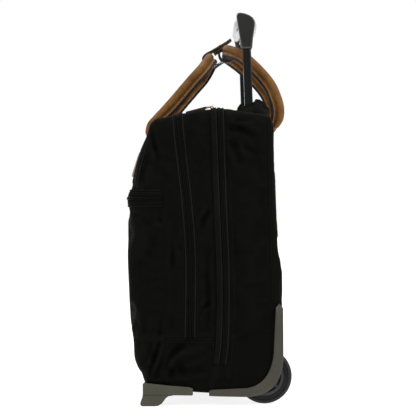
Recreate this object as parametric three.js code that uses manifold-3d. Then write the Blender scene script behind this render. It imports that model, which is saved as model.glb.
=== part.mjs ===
// Rolling laptop case: an upright soft nylon case on two wheels, with a telescopic trolley,
// two rolled leather handles and three zipped compartments.
// Millimetres. +X points to the back of the case, +Y to its right-hand side, +Z up.
// The origin is on the ground, under the middle of the whole case.
import * as THREE from 'three';
import { mergeVertices } from 'three/addons/utils/BufferGeometryUtils.js';
import Module from 'manifold-3d';

const wasm = await Module();
wasm.setup();

// Body
const BODY_WIDTH = 400;
const PANEL = 3;
const SEAM_GAP = 0.4;
const HALF = BODY_WIDTH / 2;
const INNER_HALF = HALF - PANEL - SEAM_GAP;
const CENTRE_SHIFT = 0.95;
const CORE_HALF = 138;
const ZIP_HALF = 3;
const ZIP_CLEARANCE = 0.5;
const ZIP_STEPS = 10;
const CORNER_STEPS = 6;

// Wheels, their cups and the corner mouldings
const WHEEL_RADIUS = 37.7;
const WHEEL_X = 77;
const WHEEL_Y = 166.5;
const TYRE_INNER = 27.2;
const AXLE_RADIUS = 4;
const CUP_OUTER = 44.5;
const CUP_INNER = 41;
const CUP_START = THREE.MathUtils.degToRad(63);
const CUP_SWEEP = THREE.MathUtils.degToRad(142);
const MOULDING_OUTER = 204.4;
const MOULDING_INNER = 152;
const CHEEK_INNER = 200.4;

// Trolley: its own frame leans forward with the back of the case
const TROLLEY_X = 56.8;
const TROLLEY_Z = 422;
const TROLLEY_LEAN = THREE.MathUtils.degToRad(2);
const TUBE_Y = 115.5;
const INNER_TUBE = { width: 11.6, depth: 17, wall: 1.2, low: -355, high: 86 };
const MID_TUBE = { width: 14.6, depth: 20, wall: 1.2, low: -362, high: -19 };
const OUTER_TUBE = { width: 18, depth: 23.4, wall: 1.4, low: -370, high: -36 };
const TUBE_CORNER = 3.5;

// Leather handles
const HANDLE_Y = 75;
const HANDLE_BIGHT_Y = 42;
const HANDLE_HALF_THICK = 5;
const HANDLE_HALF_DEPTH = 7;
const HANDLE_STEPS = 44;

const FINISHES = {
  nylon: [0x171715, 0.9, 0],
  lining: [0x2b2a28, 0.95, 0],
  board: [0x222222, 0.6, 0],
  olive: [0x56524a, 0.55, 0],
  black_plastic: [0x1c1c1c, 0.5, 0],
  grip: [0x30332f, 0.25, 0],
  tube: [0x121316, 0.25, 0.8],
  steel: [0x8f9296, 0.35, 1],
  aluminium: [0xa7a9ac, 0.4, 1],
  tyre: [0x1f201e, 0.75, 0],
  hub: [0x3a3c3a, 0.5, 0],
  leather: [0x8a5c30, 0.6, 0],
  dark_leather: [0x2e241f, 0.65, 0],
  patch: [0x9b7f6c, 0.6, 0],
  brass: [0xb8934a, 0.3, 1],
  zip: [0x232321, 0.6, 0],
};

const materials = {};
for (const [name, [color, roughness, metalness]] of Object.entries(FINISHES)) {
  materials[name] = new THREE.MeshStandardMaterial({ name, color, roughness, metalness });
}

// ---- Solids ----

function solidOf(geometry) {
  const bare = geometry.clone();
  bare.deleteAttribute('normal');
  bare.deleteAttribute('uv');
  const merged = mergeVertices(bare);
  return new wasm.Manifold(new wasm.Mesh({
    numProp: 3,
    vertProperties: new Float32Array(merged.attributes.position.array),
    triVerts: new Uint32Array(merged.index.array),
  }));
}

function geometryOf(solid) {
  const mesh = solid.getMesh();
  const geometry = new THREE.BufferGeometry();
  geometry.setAttribute('position', new THREE.BufferAttribute(mesh.vertProperties, 3));
  geometry.setIndex(new THREE.BufferAttribute(mesh.triVerts, 1));
  geometry.computeVertexNormals();
  return geometry;
}

function join(...geometries) {
  const solids = geometries.map(solidOf);
  return geometryOf(solids.reduce((whole, next) => whole.add(next)));
}

function cut(geometry, ...tools) {
  return geometryOf(tools.map(solidOf).reduce((rest, tool) => rest.subtract(tool), solidOf(geometry)));
}

// An outline in the X-Z plane, carried along Y from yLow to yHigh.
function slab(outline, yLow, yHigh) {
  const shape = new THREE.Shape(outline.map(([x, z]) => new THREE.Vector2(x, z)));
  const geometry = new THREE.ExtrudeGeometry(shape, { depth: yHigh - yLow, bevelEnabled: false });
  geometry.rotateX(Math.PI / 2);
  geometry.translate(0, yHigh, 0);
  return geometry;
}

// The same on one side of the case: side is -1 (left) or 1 (right), near and far are |Y|.
function sideSlab(outline, side, near, far) {
  return side > 0 ? slab(outline, near, far) : slab(outline, -far, -near);
}

function centredSlab(outline, halfWidth) {
  return slab(outline, -halfWidth, halfWidth);
}

// A bent sheet: the outer surface runs anticlockwise round the case, the inner one lies to its left.
function sheet(points, thickness = PANEL) {
  const inner = points.map((point, i) => {
    const before = points[Math.max(i - 1, 0)];
    const after = points[Math.min(i + 1, points.length - 1)];
    const dx = after[0] - before[0];
    const dz = after[1] - before[1];
    const reach = thickness / Math.hypot(dx, dz);
    return [point[0] - dz * reach, point[1] + dx * reach];
  });
  return [...points, ...inner.reverse()];
}

function box(xLow, xHigh, yLow, yHigh, zLow, zHigh) {
  const geometry = new THREE.BoxGeometry(xHigh - xLow, yHigh - yLow, zHigh - zLow);
  geometry.translate((xLow + xHigh) / 2, (yLow + yHigh) / 2, (zLow + zHigh) / 2);
  return geometry;
}

function roundedRectangle(path, width, depth, radius) {
  const x = width / 2;
  const y = depth / 2;
  path.moveTo(x, -y + radius);
  path.lineTo(x, y - radius);
  path.absarc(x - radius, y - radius, radius, 0, Math.PI / 2, false);
  path.absarc(-x + radius, y - radius, radius, Math.PI / 2, Math.PI, false);
  path.absarc(-x + radius, -y + radius, radius, Math.PI, 1.5 * Math.PI, false);
  path.absarc(x - radius, -y + radius, radius, 1.5 * Math.PI, 2 * Math.PI, false);
  return path;
}

function rectangularBar(width, depth, low, high, holes = []) {
  const shape = roundedRectangle(new THREE.Shape(), width, depth, TUBE_CORNER);
  shape.holes.push(...holes);
  const settings = { depth: high - low, bevelEnabled: false, curveSegments: 3 };
  const geometry = new THREE.ExtrudeGeometry(shape, settings);
  geometry.translate(0, 0, low);
  return geometry;
}

function tube({ width, depth, wall, low, high }) {
  const hole = roundedRectangle(new THREE.Path(), width - 2 * wall, depth - 2 * wall, TUBE_CORNER - wall);
  return rectangularBar(width, depth, low, high, [hole]);
}

function latheRing(profile, segments = 48) {
  const points = [...profile, profile[0]].map(([r, y]) => new THREE.Vector2(r, y));
  return new THREE.LatheGeometry(points, segments);
}

function latheSolid(profile, segments = 24) {
  return new THREE.LatheGeometry(profile.map(([r, y]) => new THREE.Vector2(r, y)), segments);
}

function arcPoints(cx, cz, radius, start, sweep, steps) {
  const points = [];
  for (let i = 0; i <= steps; i += 1) {
    const angle = start + (sweep * i) / steps;
    points.push([cx + radius * Math.cos(angle), cz + radius * Math.sin(angle)]);
  }
  return points;
}

function bend(from, corner, to, steps = CORNER_STEPS) {
  const [a, b, c] = [from, corner, to].map(([x, z]) => new THREE.Vector2(x, z));
  return new THREE.QuadraticBezierCurve(a, b, c).getPoints(steps).map((p) => [p.x, p.y]);
}

function zipCurve(points) {
  return new THREE.SplineCurve(points.map(([x, z]) => new THREE.Vector2(x, z)));
}

// Points up one side of a zip, offset in X from its centre line.
function zipEdge(curve, offset) {
  return curve.getPoints(ZIP_STEPS).map((p) => [p.x + offset, p.y]);
}

// ---- Scene ----

const SIDES = [['left', -1], ['right', 1]];
const laptopCase = new THREE.Group();
laptopCase.position.x = CENTRE_SHIFT;
const trolley = new THREE.Group();
trolley.position.set(TROLLEY_X, 0, TROLLEY_Z);
trolley.rotation.y = -TROLLEY_LEAN;
laptopCase.add(trolley);

function add(name, finish, geometry, parent = laptopCase, position = [0, 0, 0]) {
  const mesh = new THREE.Mesh(geometry, materials[finish]);
  mesh.name = name;
  mesh.position.set(...position);
  parent.add(mesh);
  return mesh;
}

function inCaseFrame(geometry) {
  trolley.updateMatrix();
  return geometry.clone().applyMatrix4(trolley.matrix);
}

// ---- Lines that the panels share ----

const mainZip = zipCurve([[15.5, 56], [19.3, 89], [20.5, 170], [16.5, 278], [12.2, 398.5]]);
const frontZip = zipCurve([[-24.5, 91.2], [-23.5, 197], [-29, 278], [-37, 346], [-41.5, 393]]);
const ZIP_EDGE = ZIP_HALF + ZIP_CLEARANCE;

const baseRear = [[2.4, 20.4], ...bend([45, 21.4], [91, 22], [92.6, 83.5])];
const backLine = [[92.6, 86], [92.6, 130], [91.6, 162], [89.6, 223], [87.8, 300], [86.8, 348], [87.4, 385]];
const topRear = [[83.5, 391.6], [76, 393], [45, 395.8], [16.2, 399.6]];
const topMain = [[8.2, 398.8], [-37.8, 394.6]];
const topFront = [[-45.2, 393.3], [-75.4, 385.6]];
const frontUpper = [[-77, 382], [-78.4, 363], [-91, 339], [-100, 308], [-105.4, 293.5]];
const pocketBulge = [[-106.6, 292.6], [-111.6, 287], [-112.2, 280], [-111.6, 272.5], [-109.6, 268.8]];
const pocketFront = [[-109.4, 267.8], [-107.2, 250], [-107.2, 184], [-104.2, 136], [-99.7, 91.2]];
const lowerFront = [[-99.3, 89.8], [-96, 62], [-86, 34.5]];
const baseMain = [[-84.3, 31.2], [0.2, 20.5]];

// ---- Rear part of the case ----

function addRearPanels() {
  const gusset = [
    [2.4, 20.6],
    ...baseRear.slice(1),
    ...backLine,
    ...topRear,
    ...zipEdge(mainZip, ZIP_EDGE).reverse(),
    [14.4, 54.5],
  ];
  for (const [name, side] of SIDES) {
    add(`${name}_rear_gusset`, 'nylon', sideSlab(gusset, side, HALF - PANEL, HALF));
  }
  add('back_panel', 'nylon', centredSlab(sheet(backLine), INNER_HALF));

  const frontStrip = centredSlab(sheet([[2.4, 20.4], [31, 21.07]]), INNER_HALF);
  add('rear_base_panel', 'nylon', join(centredSlab(sheet(baseRear), CORE_HALF), frontStrip));

  const clearance = { width: 17.5, depth: 23, low: -60, high: 0 };
  add('rear_top_panel', 'nylon', cut(centredSlab(sheet(topRear), INNER_HALF), ...tubeHoles(clearance)));
}

function tubeHoles({ width, depth, low, high }) {
  return SIDES.map(([, side]) => {
    const plug = rectangularBar(width, depth, low, high);
    plug.translate(0, side * TUBE_Y, 0);
    return inCaseFrame(plug);
  });
}

function addTrolleyHousing() {
  const board = sheet([[59, 30], [46.5, 387.5]], 2.5);
  add('trolley_cover_board', 'board', centredSlab(board, CORE_HALF - 2));
  add('tube_foot_bracket', 'black_plastic', box(59.5, 79.5, -CORE_HALF + 4, CORE_HALF - 4, 46, 51.2));

  const plate = box(42, 77, -134, 134, 397.2, 401.8);
  const plateHoles = tubeHoles({ width: 16.2, depth: 21.6, low: -60, high: 0 });
  add('trolley_bezel', 'black_plastic', cut(plate, ...plateHoles));

  const folds = [
    [44.5, 402.6], [84, 402.6], [80, 408], [76, 414], [68, 418], [60, 415], [52, 416.5], [46, 415], [43.8, 409],
  ];
  const foldHoles = tubeHoles({ width: 18, depth: 23.4, low: -40, high: 20 });
  add('trolley_shroud', 'nylon', cut(centredSlab(folds, 148), ...foldHoles));
}

function addBackSleeve() {
  const sleeve = [
    [93.2, 130], [97.2, 134], [97.2, 162], [98.6, 176], [96.3, 223], [92.2, 300], [90.3, 318],
    [88.1, 318], [88.4, 300], [90.2, 223], [92.2, 162],
  ];
  add('back_sleeve', 'nylon', centredSlab(sleeve, 140));
}

// One moulding per rear corner: a cheek on the side, a rib up the back and a skid under the base.
function cornerGuard(side) {
  const outerBend = bend([50, 12.4], [99.5, 12.4], [101.9, 66], 8);
  const innerBend = bend([88.6, 70], [83, 27], [50, 24.2], 8);
  const tip = [[101.4, 130], [99, 136], [95.4, 138.5]];
  const cheek = [[1.6, 13.4], ...outerBend, ...tip, [91.5, 135], [90.5, 116], ...innerBend, [6, 22], [1.6, 20.2]];
  const rib = [[93.4, 84], [101.4, 84], ...tip, [93.4, 136]];
  const skid = [[1.6, 13.4], [31, 12.8], [31, 19.8], [1.6, 19.8]];
  return join(
    sideSlab(cheek, side, CHEEK_INNER, MOULDING_OUTER),
    sideSlab(rib, side, MOULDING_INNER, MOULDING_OUTER),
    sideSlab(skid, side, MOULDING_INNER, MOULDING_OUTER),
  );
}

function axleHole() {
  const plug = new THREE.CylinderGeometry(AXLE_RADIUS + 0.3, AXLE_RADIUS + 0.3, 2 * BODY_WIDTH, 24);
  plug.translate(WHEEL_X, 0, WHEEL_RADIUS);
  return plug;
}

function wheelCup(side) {
  const crown = arcPoints(WHEEL_X, WHEEL_RADIUS, CUP_OUTER, CUP_START, CUP_SWEEP, 12);
  const hollow = arcPoints(WHEEL_X, WHEEL_RADIUS, CUP_INNER, CUP_START, CUP_SWEEP, 12);
  const arch = [...crown, ...hollow.reverse()];
  const cheek = [...crown, [60, 23], [70, 26], [82, 27], [88, 34], [91, 48]];
  const walls = join(
    sideSlab(arch, side, 143, 189.5),
    sideSlab(cheek, side, 143, 146.5),
    sideSlab(cheek, side, 186, 189.5),
  );
  return cut(walls, axleHole());
}

function addWheelSide(name, side) {
  const centre = [WHEEL_X, side * WHEEL_Y, WHEEL_RADIUS];
  add(`${name}_corner_guard`, 'olive', cornerGuard(side));
  add(`${name}_wheel_cup`, 'black_plastic', wheelCup(side));

  const tread = [[37, -9], [WHEEL_RADIUS, -4], [WHEEL_RADIUS, 4], [37, 9]];
  const tyre = [[TYRE_INNER, -10], [34, -12], ...tread, [34, 12], [TYRE_INNER, 10]];
  add(`${name}_tyre`, 'tyre', latheRing(tyre), laptopCase, centre);
  const hubOuter = TYRE_INNER - 0.3;
  const bore = AXLE_RADIUS + 0.3;
  const hub = [[bore, -12], [15, -12], [15, -8], [hubOuter, -8], [hubOuter, 8], [15, 8], [15, 12], [bore, 12]];
  add(`${name}_hub`, 'hub', latheRing(hub, 36), laptopCase, centre);

  const shank = AXLE_RADIUS;
  const bolt = [[0, -26.5], [shank, -26.5], [shank, 23.4], [7, 23.4], [7, 26.5], [0, 26.5]];
  const axle = add(`${name}_axle`, 'steel', latheSolid(bolt), laptopCase, centre);
  axle.rotation.x = side > 0 ? 0 : Math.PI;
}

// A zip chain with its tapes: up one side, across the top and down the other side.
function zipChain(curve, topZ) {
  const strip = [...zipEdge(curve, ZIP_HALF), ...zipEdge(curve, -ZIP_HALF).reverse()];
  const top = curve.getPoint(1);
  const across = box(top.x - ZIP_HALF, top.x + ZIP_HALF, -HALF + 0.3, HALF - 0.3, top.y - 1.5, topZ);
  return join(
    slab(strip, -HALF + 0.3, -HALF + 2.8),
    slab(strip, HALF - 2.8, HALF - 0.3),
    across,
  );
}

// ---- Main section, which opens forward about the front edge of the rear base ----

function addMainSection() {
  const gusset = [
    ...baseMain.slice().reverse(),
    ...lowerFront.slice().reverse(),
    [-21, 89.8],
    ...zipEdge(frontZip, ZIP_EDGE),
    [8.2, 398.8],
    ...zipEdge(mainZip, -ZIP_EDGE).reverse(),
  ];
  for (const [name, side] of SIDES) {
    add(`${name}_main_gusset`, 'nylon', sideSlab(gusset, side, HALF - PANEL, HALF));
    add(`${name}_front_foot`, 'olive', frontFoot(side));
  }
  add('main_top_panel', 'nylon', centredSlab(sheet(topMain), INNER_HALF));
  add('lower_front_panel', 'nylon', centredSlab(sheet(lowerFront), INNER_HALF));
  add('front_base_panel', 'nylon', centredSlab(sheet(baseMain), INNER_HALF));
  const divider = sheet([[-37, 390], [-33, 346], [-25, 278], [-19.5, 197], [-19.5, 29]], 5);
  add('laptop_divider', 'lining', centredSlab(divider, INNER_HALF));
  add('front_zip_chain', 'zip', zipChain(frontZip, 395.8));
}

function frontFoot(side) {
  const sole = [[-88, 14.7], [-91, 4.6], [-90, 0], [-70, 0], [-60, 6.4], [-53, 13.4], [-21, 13.4]];
  const cheek = [...sole, [-21, 24], [-24, 25.6], [-87, 31.5]];
  const block = [...sole, [-21, 22.2], [-86.5, 30.4]];
  return join(
    sideSlab(cheek, side, CHEEK_INNER, MOULDING_OUTER),
    sideSlab(block, side, MOULDING_INNER, MOULDING_OUTER),
  );
}

// ---- Front section, which opens forward about the cross seam ----

function addFrontSection() {
  const gusset = [
    ...topFront,
    ...frontUpper.slice(1),
    ...pocketBulge.slice(1, -1),
    ...pocketFront.slice(1),
    ...zipEdge(frontZip, -ZIP_EDGE),
  ];
  for (const [name, side] of SIDES) {
    add(`${name}_front_gusset`, 'nylon', sideSlab(gusset, side, HALF - PANEL, HALF));
  }
  add('front_top_panel', 'nylon', centredSlab(sheet(topFront), INNER_HALF));
  add('front_upper_panel', 'nylon', centredSlab(sheet(frontUpper), INNER_HALF));
  add('pocket_zip_band', 'zip', centredSlab(sheet(pocketBulge, 2.4), INNER_HALF));
  add('front_pocket_panel', 'nylon', centredSlab(sheet(pocketFront), INNER_HALF));
  add('pocket_back_panel', 'lining', box(-92, -89.5, -INNER_HALF, INNER_HALF, 96, 296));
  const patch = [[-92.5, 337.6], [-94.2, 338.1], [-102.5, 310.1], [-100.8, 309.6]];
  add('leather_patch', 'patch', centredSlab(patch, 38));
}

// ---- Telescopic trolley ----

function addTrolleyTubes() {
  for (const [name, side] of SIDES) {
    const place = [0, side * TUBE_Y, 0];
    add(`${name}_outer_tube`, 'aluminium', tube(OUTER_TUBE), trolley, place);
    add(`${name}_mid_tube`, 'tube', tube(MID_TUBE), trolley, place);
    add(`${name}_inner_tube`, 'tube', tube(INNER_TUBE), trolley, place);
  }
}

function ellipse(cx, cz, rx, rz, steps) {
  return arcPoints(0, 0, 1, 0, 2 * Math.PI, steps).slice(0, -1).map(([x, z]) => [cx + x * rx, cz + z * rz]);
}

const GRIP_CENTRE = 1.5;
const BUTTON_HALF = 23;

function gripShell() {
  const leg = [[-8.2, 68], [8.2, 68], [12.5, 104], [11.5, 110], [-11, 118], [-13, 115]];
  const crossbar = [[-11, 99], [11, 99], [12.5, 104], [11.5, 110], [-11, 118], [-13, 115]];
  const body = join(
    sideSlab(leg, -1, 104.5, 126.5),
    sideSlab(leg, 1, 104.5, 126.5),
    centredSlab(crossbar, 126.5),
    centredSlab(ellipse(GRIP_CENTRE, 108.2, 17.5, 9.8, 28), 86),
  );
  const hollows = SIDES.flatMap(([, side]) => {
    const socket = rectangularBar(INNER_TUBE.width + 0.6, INNER_TUBE.depth + 0.6, 60, 88);
    socket.translate(0, side * TUBE_Y, 0);
    const y = side * TUBE_Y;
    return [socket, box(-3, 3, y - 3, y + 3, 85, 107)];
  });
  const channel = box(-3, 3, -118.5, 118.5, 100, 107);
  const pocket = box(GRIP_CENTRE - 6.5, GRIP_CENTRE + 6.5, -BUTTON_HALF - 0.6, BUTTON_HALF + 0.6, 102.4, 121);
  return cut(body, ...hollows, channel, pocket);
}

function releaseLinkage() {
  const yoke = box(-2.2, 2.2, -117.6, 117.6, 104.2, 106.3);
  const rods = SIDES.map(([, side]) => {
    const rod = new THREE.CylinderGeometry(2, 2, 445, 12);
    rod.rotateX(Math.PI / 2);
    rod.translate(0, side * TUBE_Y, 105 - 445 / 2);
    return rod;
  });
  return join(yoke, ...rods);
}

function addGrip() {
  add('trolley_grip', 'grip', gripShell(), trolley);
  const button = box(GRIP_CENTRE - 5.9, GRIP_CENTRE + 5.9, -BUTTON_HALF, BUTTON_HALF, 106.7, 119);
  add('release_button', 'black_plastic', button, trolley);
  add('release_linkage', 'aluminium', releaseLinkage(), trolley);
}

// ---- Leather handles and the keeper that snaps them together ----

// Leg points run in X-Z from the sewn end to the bight; the last one is where the handle crosses over.
function handle(legPoints) {
  const last = legPoints.length - 1;
  const leg = legPoints.map(([x, z], i) => [x, i < last ? HANDLE_Y : HANDLE_BIGHT_Y, z]);
  leg[last - 1][1] = HANDLE_Y - 6;
  const rise = leg.map(([x, y, z]) => new THREE.Vector3(x, -y, z));
  const middle = new THREE.Vector3(legPoints[last][0], 0, legPoints[last][1]);
  const fall = leg.map(([x, y, z]) => new THREE.Vector3(x, y, z)).reverse();
  const path = new THREE.CatmullRomCurve3([...rise, middle, ...fall]);
  const section = ellipse(0, 0, HANDLE_HALF_THICK, HANDLE_HALF_DEPTH, 12);
  const shape = new THREE.Shape(section.map(([x, y]) => new THREE.Vector2(x, y)));
  return new THREE.ExtrudeGeometry(shape, { steps: HANDLE_STEPS, bevelEnabled: false, extrudePath: path });
}

const frontHandle = [
  [-86.4, 369], [-86.4, 382], [-78, 394.6], [-56, 412.2], [-37.5, 430.5], [-20, 451], [1, 479],
];
const backHandle = [
  [96.5, 378], [99.5, 392], [101, 405], [99, 419], [90.5, 440], [78, 457], [60, 474.5], [48, 485], [31, 494],
];

function addHandles() {
  add('front_handle', 'leather', handle(frontHandle));
  add('back_handle', 'leather', handle(backHandle));
  const flap = [[-5, 491.2], [34, 514.8], [34.6, 517.4], [-6.2, 493.6]];
  add('keeper_flap', 'dark_leather', centredSlab(flap, 11));
  const stud = new THREE.CylinderGeometry(3.6, 3.6, 7, 20);
  stud.rotateX(Math.PI / 2);
  stud.translate(15, 0, 497);
  add('keeper_stud', 'brass', stud);
  const loop = [[11, 476.5], [23, 484.6], [30.5, 481.8], [31.5, 484.2], [22.5, 487.6], [11.4, 479.6]];
  add('keeper_base', 'dark_leather', centredSlab(loop, 11));
}

// ---- Zip sliders and their pulls ----

function addZipPulls() {
  const zipY = -60;
  const bail = box(3.4, 8.4, zipY - 2.5, zipY + 2.5, 405, 415);
  add('main_slider', 'brass', join(box(5.6, 17, zipY - 6, zipY + 6, 402.5, 407.4), bail));
  const mainPull = [[-33, 402.6], [2.4, 411.6], [2.4, 414.4], [-33, 405.4]];
  add('main_pull', 'dark_leather', slab(mainPull, zipY - 4.5, zipY + 4.5));

  const frontY = 130;
  add('front_slider', 'brass', box(-46.5, -36.8, frontY - 6, frontY + 6, 396.4, 400.6));
  add('front_pull', 'dark_leather', box(-45, -37.4, frontY + 7, frontY + 27, 397.6, 400.2));

  const pocketY = 66;
  add('pocket_slider', 'brass', box(-116.6, -112.6, pocketY - 6, pocketY + 6, 276, 285));
  add('pocket_pull', 'dark_leather', box(-116.6, -114.2, pocketY - 4.5, pocketY + 4.5, 248, 275.4));

  const sleeveY = -54;
  const upper = join(
    box(92.9, 96.6, sleeveY - 6, sleeveY + 6, 302, 310.5),
    box(94.6, 96.6, sleeveY - 3.5, sleeveY + 3.5, 286, 303),
  );
  add('sleeve_top_slider', 'brass', upper);
  const lower = join(
    box(98.9, 102.2, sleeveY - 6, sleeveY + 6, 172, 181),
    box(100.2, 102.2, sleeveY - 3.5, sleeveY + 3.5, 157, 173),
  );
  add('sleeve_base_slider', 'brass', lower);
}

addRearPanels();
addTrolleyHousing();
addBackSleeve();
for (const [name, side] of SIDES) {
  addWheelSide(name, side);
}
add('main_zip_chain', 'zip', zipChain(mainZip, 401.8));
addMainSection();
addFrontSection();
addTrolleyTubes();
addGrip();
addHandles();
addZipPulls();

export default laptopCase;
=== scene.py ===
"""Rolling laptop case: the looks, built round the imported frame. Outlines are in millimetres in the case's own frame."""
import math

import bmesh
import bpy
import numpy as np
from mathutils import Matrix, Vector, noise
from mathutils.bvhtree import BVHTree


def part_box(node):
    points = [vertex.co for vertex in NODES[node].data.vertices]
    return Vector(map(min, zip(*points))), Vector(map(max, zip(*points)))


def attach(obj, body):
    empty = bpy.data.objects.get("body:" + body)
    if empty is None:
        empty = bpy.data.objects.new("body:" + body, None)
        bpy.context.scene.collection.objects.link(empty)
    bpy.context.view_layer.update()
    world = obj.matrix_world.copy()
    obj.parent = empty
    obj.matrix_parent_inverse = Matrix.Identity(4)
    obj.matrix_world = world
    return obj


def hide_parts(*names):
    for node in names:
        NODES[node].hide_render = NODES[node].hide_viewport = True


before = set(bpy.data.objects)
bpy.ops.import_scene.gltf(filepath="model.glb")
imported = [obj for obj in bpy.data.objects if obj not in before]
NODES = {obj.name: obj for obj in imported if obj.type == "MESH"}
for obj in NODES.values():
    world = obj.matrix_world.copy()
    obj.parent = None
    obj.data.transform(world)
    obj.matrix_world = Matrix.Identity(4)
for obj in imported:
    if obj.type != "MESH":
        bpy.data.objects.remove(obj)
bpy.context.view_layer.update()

scene = bpy.context.scene

MM = 0.001
WHEEL_X = 77.0
WHEEL_Z = 37.7
SHIFT = sum(p.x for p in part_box("left_tyre")) / 2 / MM - WHEEL_X      # from the outline's x to the row frame's
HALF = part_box("right_rear_gusset")[1].y / MM
SKIN_HALF = HALF - 1.0
SIDES = (("left", -1), ("right", 1))


def at(x, y, z):
    """A point given in the outline's millimetres, in the row frame."""
    return Vector(((x + SHIFT) * MM, y * MM, z * MM))


# ---------------- camera and studio

def add_object(name, data, location=(0, 0, 0)):
    obj = bpy.data.objects.new(name, data)
    obj.location = location
    scene.collection.objects.link(obj)
    return obj


def add_camera(distance=2.3, height=0.2674, lens=134.6):
    data = bpy.data.cameras.new("camera")
    data.lens, data.sensor_width, data.clip_end = lens, 36.0, 30.0
    scene.camera = add_object("camera", data, (SHIFT * MM, -distance, height))
    scene.camera.rotation_euler = (math.pi / 2, 0, 0)


def area_light(name, location, target, size, power):
    data = bpy.data.lights.new(name, "AREA")
    data.shape = "RECTANGLE"
    data.size, data.size_y = size
    data.energy = power
    light = add_object(name, data, location)
    light.rotation_euler = (Vector(target) - Vector(location)).to_track_quat("-Z", "Y").to_euler()


def add_studio(reach=12.0):
    world = bpy.data.worlds.new("studio")
    world.use_nodes = True
    background = world.node_tree.nodes["Background"]
    background.inputs["Color"].default_value = (1, 1, 1, 1)
    background.inputs["Strength"].default_value = 1.0
    scene.world = world
    area_light("key", (-1.1, -1.9, 1.5), (0, 0, 0.25), (0.9, 0.9), 18)
    area_light("rim", (1.5, -0.9, 1.2), (0.05, 0, 0.3), (0.5, 1.2), 14)
    area_light("top", (0.1, 0.2, 2.2), (0, 0, 0.3), (1.4, 1.4), 22)
    mesh = bpy.data.meshes.new("floor")
    corners = [(x * reach, y * reach, 0) for x, y in ((-1, -1), (1, -1), (1, 1), (-1, 1))]
    mesh.from_pydata(corners, [], [(0, 1, 2, 3)])
    paper = Shader("floor_paper", (0.36, 0.36, 0.36), 0.95, Emission_Color=(1, 1, 1, 1), Emission_Strength=0.84)
    mesh.materials.append(paper.material)
    add_object("floor", mesh)


# ---------------- materials

class Shader:
    """A Principled material with short ways to add nodes to it."""

    def __init__(self, name, colour, roughness, metallic=0.0, gloss=None, **sockets):
        self.material = bpy.data.materials.new(name)
        self.material.use_nodes = True
        self.tree = self.material.node_tree
        self.bsdf = self.tree.nodes["Principled BSDF"]
        self.colour = colour
        sockets |= {"Base_Color": (*colour, 1), "Roughness": roughness, "Metallic": metallic}
        if gloss is not None:
            sockets["Specular_IOR_Level"] = gloss
        for socket, value in sockets.items():
            self.bsdf.inputs[socket.replace("_", " ")].default_value = value
        self.point = self.node("TexCoord").outputs["Object"]

    def node(self, kind, setting=None, **inputs):
        """A new node with its inputs fed; setting is a pair of an attribute and its value."""
        made = self.tree.nodes.new("ShaderNode" + kind)
        if setting:
            setattr(made, *setting)
        for name, value in inputs.items():
            self.feed(made.inputs[name.replace("_", " ")], value)
        return made

    def feed(self, socket, value):
        if isinstance(value, bpy.types.NodeSocket):
            self.tree.links.new(value, socket)
        else:
            socket.default_value = value

    def math(self, operation, a, b=0.0):
        made = self.node("Math", ("operation", operation))
        self.feed(made.inputs[0], a)
        self.feed(made.inputs[1], b)
        return made.outputs[0]

    def blend(self, a, b, share):
        """a and b added, with that share of b."""
        return self.math("ADD", self.math("MULTIPLY", a, 1.0 - share), self.math("MULTIPLY", b, share))

    def noise(self, scale, detail=3.0, roughness=0.55, stretch=None):
        point = self.node("Mapping", Vector=self.point, Scale=stretch).outputs[0] if stretch else self.point
        return self.node("TexNoise", Vector=point, Scale=scale, Detail=detail, Roughness=roughness).outputs["Fac"]

    def ramp(self, value, low, high, out_low=0.0, out_high=1.0):
        made = self.node("MapRange", Value=value, From_Min=low, From_Max=high, To_Min=out_low, To_Max=out_high)
        return made.outputs[0]

    def base(self, factor, dark, light):
        """Base colour runs from dark to light times its own value as factor goes from 0 to 1."""
        ends = [(*[c * share for c in self.colour], 1) for share in (dark, light)]
        mix = self.node("Mix", ("data_type", "RGBA"), Factor=factor, A=ends[0], B=ends[1])
        self.feed(self.bsdf.inputs["Base Color"], mix.outputs["Result"])

    def rough(self, socket):
        self.feed(self.bsdf.inputs["Roughness"], socket)

    def bump(self, height, depth, strength, under=None):
        """depth is the real height of the pattern in metres."""
        made = self.node("Bump", Height=height, Strength=strength, Distance=depth)
        if under:
            self.feed(made.inputs["Normal"], under)
        self.feed(self.bsdf.inputs["Normal"], made.outputs[0])
        return made.outputs[0]

    def weave(self, thread):
        """A plain weave of that thread width, the same on faces of every direction."""
        parts = self.node("SeparateXYZ", Vector=self.point)
        waves = [self.math("SINE", self.math("MULTIPLY", parts.outputs[i], math.pi / thread)) for i in range(3)]
        products = [self.math("MULTIPLY", waves[i], waves[(i + 1) % 3]) for i in range(3)]
        total = self.math("ADD", self.math("ADD", products[0], products[1]), products[2])
        return self.ramp(total, -1.5, 1.5)


def fabric(name, colour, thread=0.0004, roughness=0.72, sheen=0.004, gloss=0.02, folds=0.0):
    """folds: how strongly the base colour is painted paler on raised parts and darker in hollows: a painted highlight
    on the ridges and painted shade in the creases.
    """
    s = Shader(name, colour, roughness, gloss=gloss, Sheen_Weight=sheen, Sheen_Roughness=0.45)
    cloud = s.noise(38.0, 5.0)
    tone_and_painted_shade = s.ramp(s.blend(cloud, s.noise(900.0, 2.0), 0.35), 0.35, 0.65)
    # Random tone. With folds, it also takes painted shade in concave hollows and a painted highlight on convex ridges,
    # read from pointiness.
    if folds:
        tone_and_painted_shade = s.blend(tone_and_painted_shade, s.ramp(s.node("NewGeometry").outputs["Pointiness"], 0.44, 0.56), folds)
    s.base(tone_and_painted_shade, 0.72 - 0.6 * folds, 1.32 + folds)
    s.rough(s.ramp(cloud, 0.3, 0.7, roughness - 0.07, roughness + 0.07))
    soft = s.bump(s.noise(160.0, 4.0), 0.0005, 0.5)
    s.bump(s.weave(thread), 0.00012, 0.9, under=soft)
    return s.material


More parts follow.
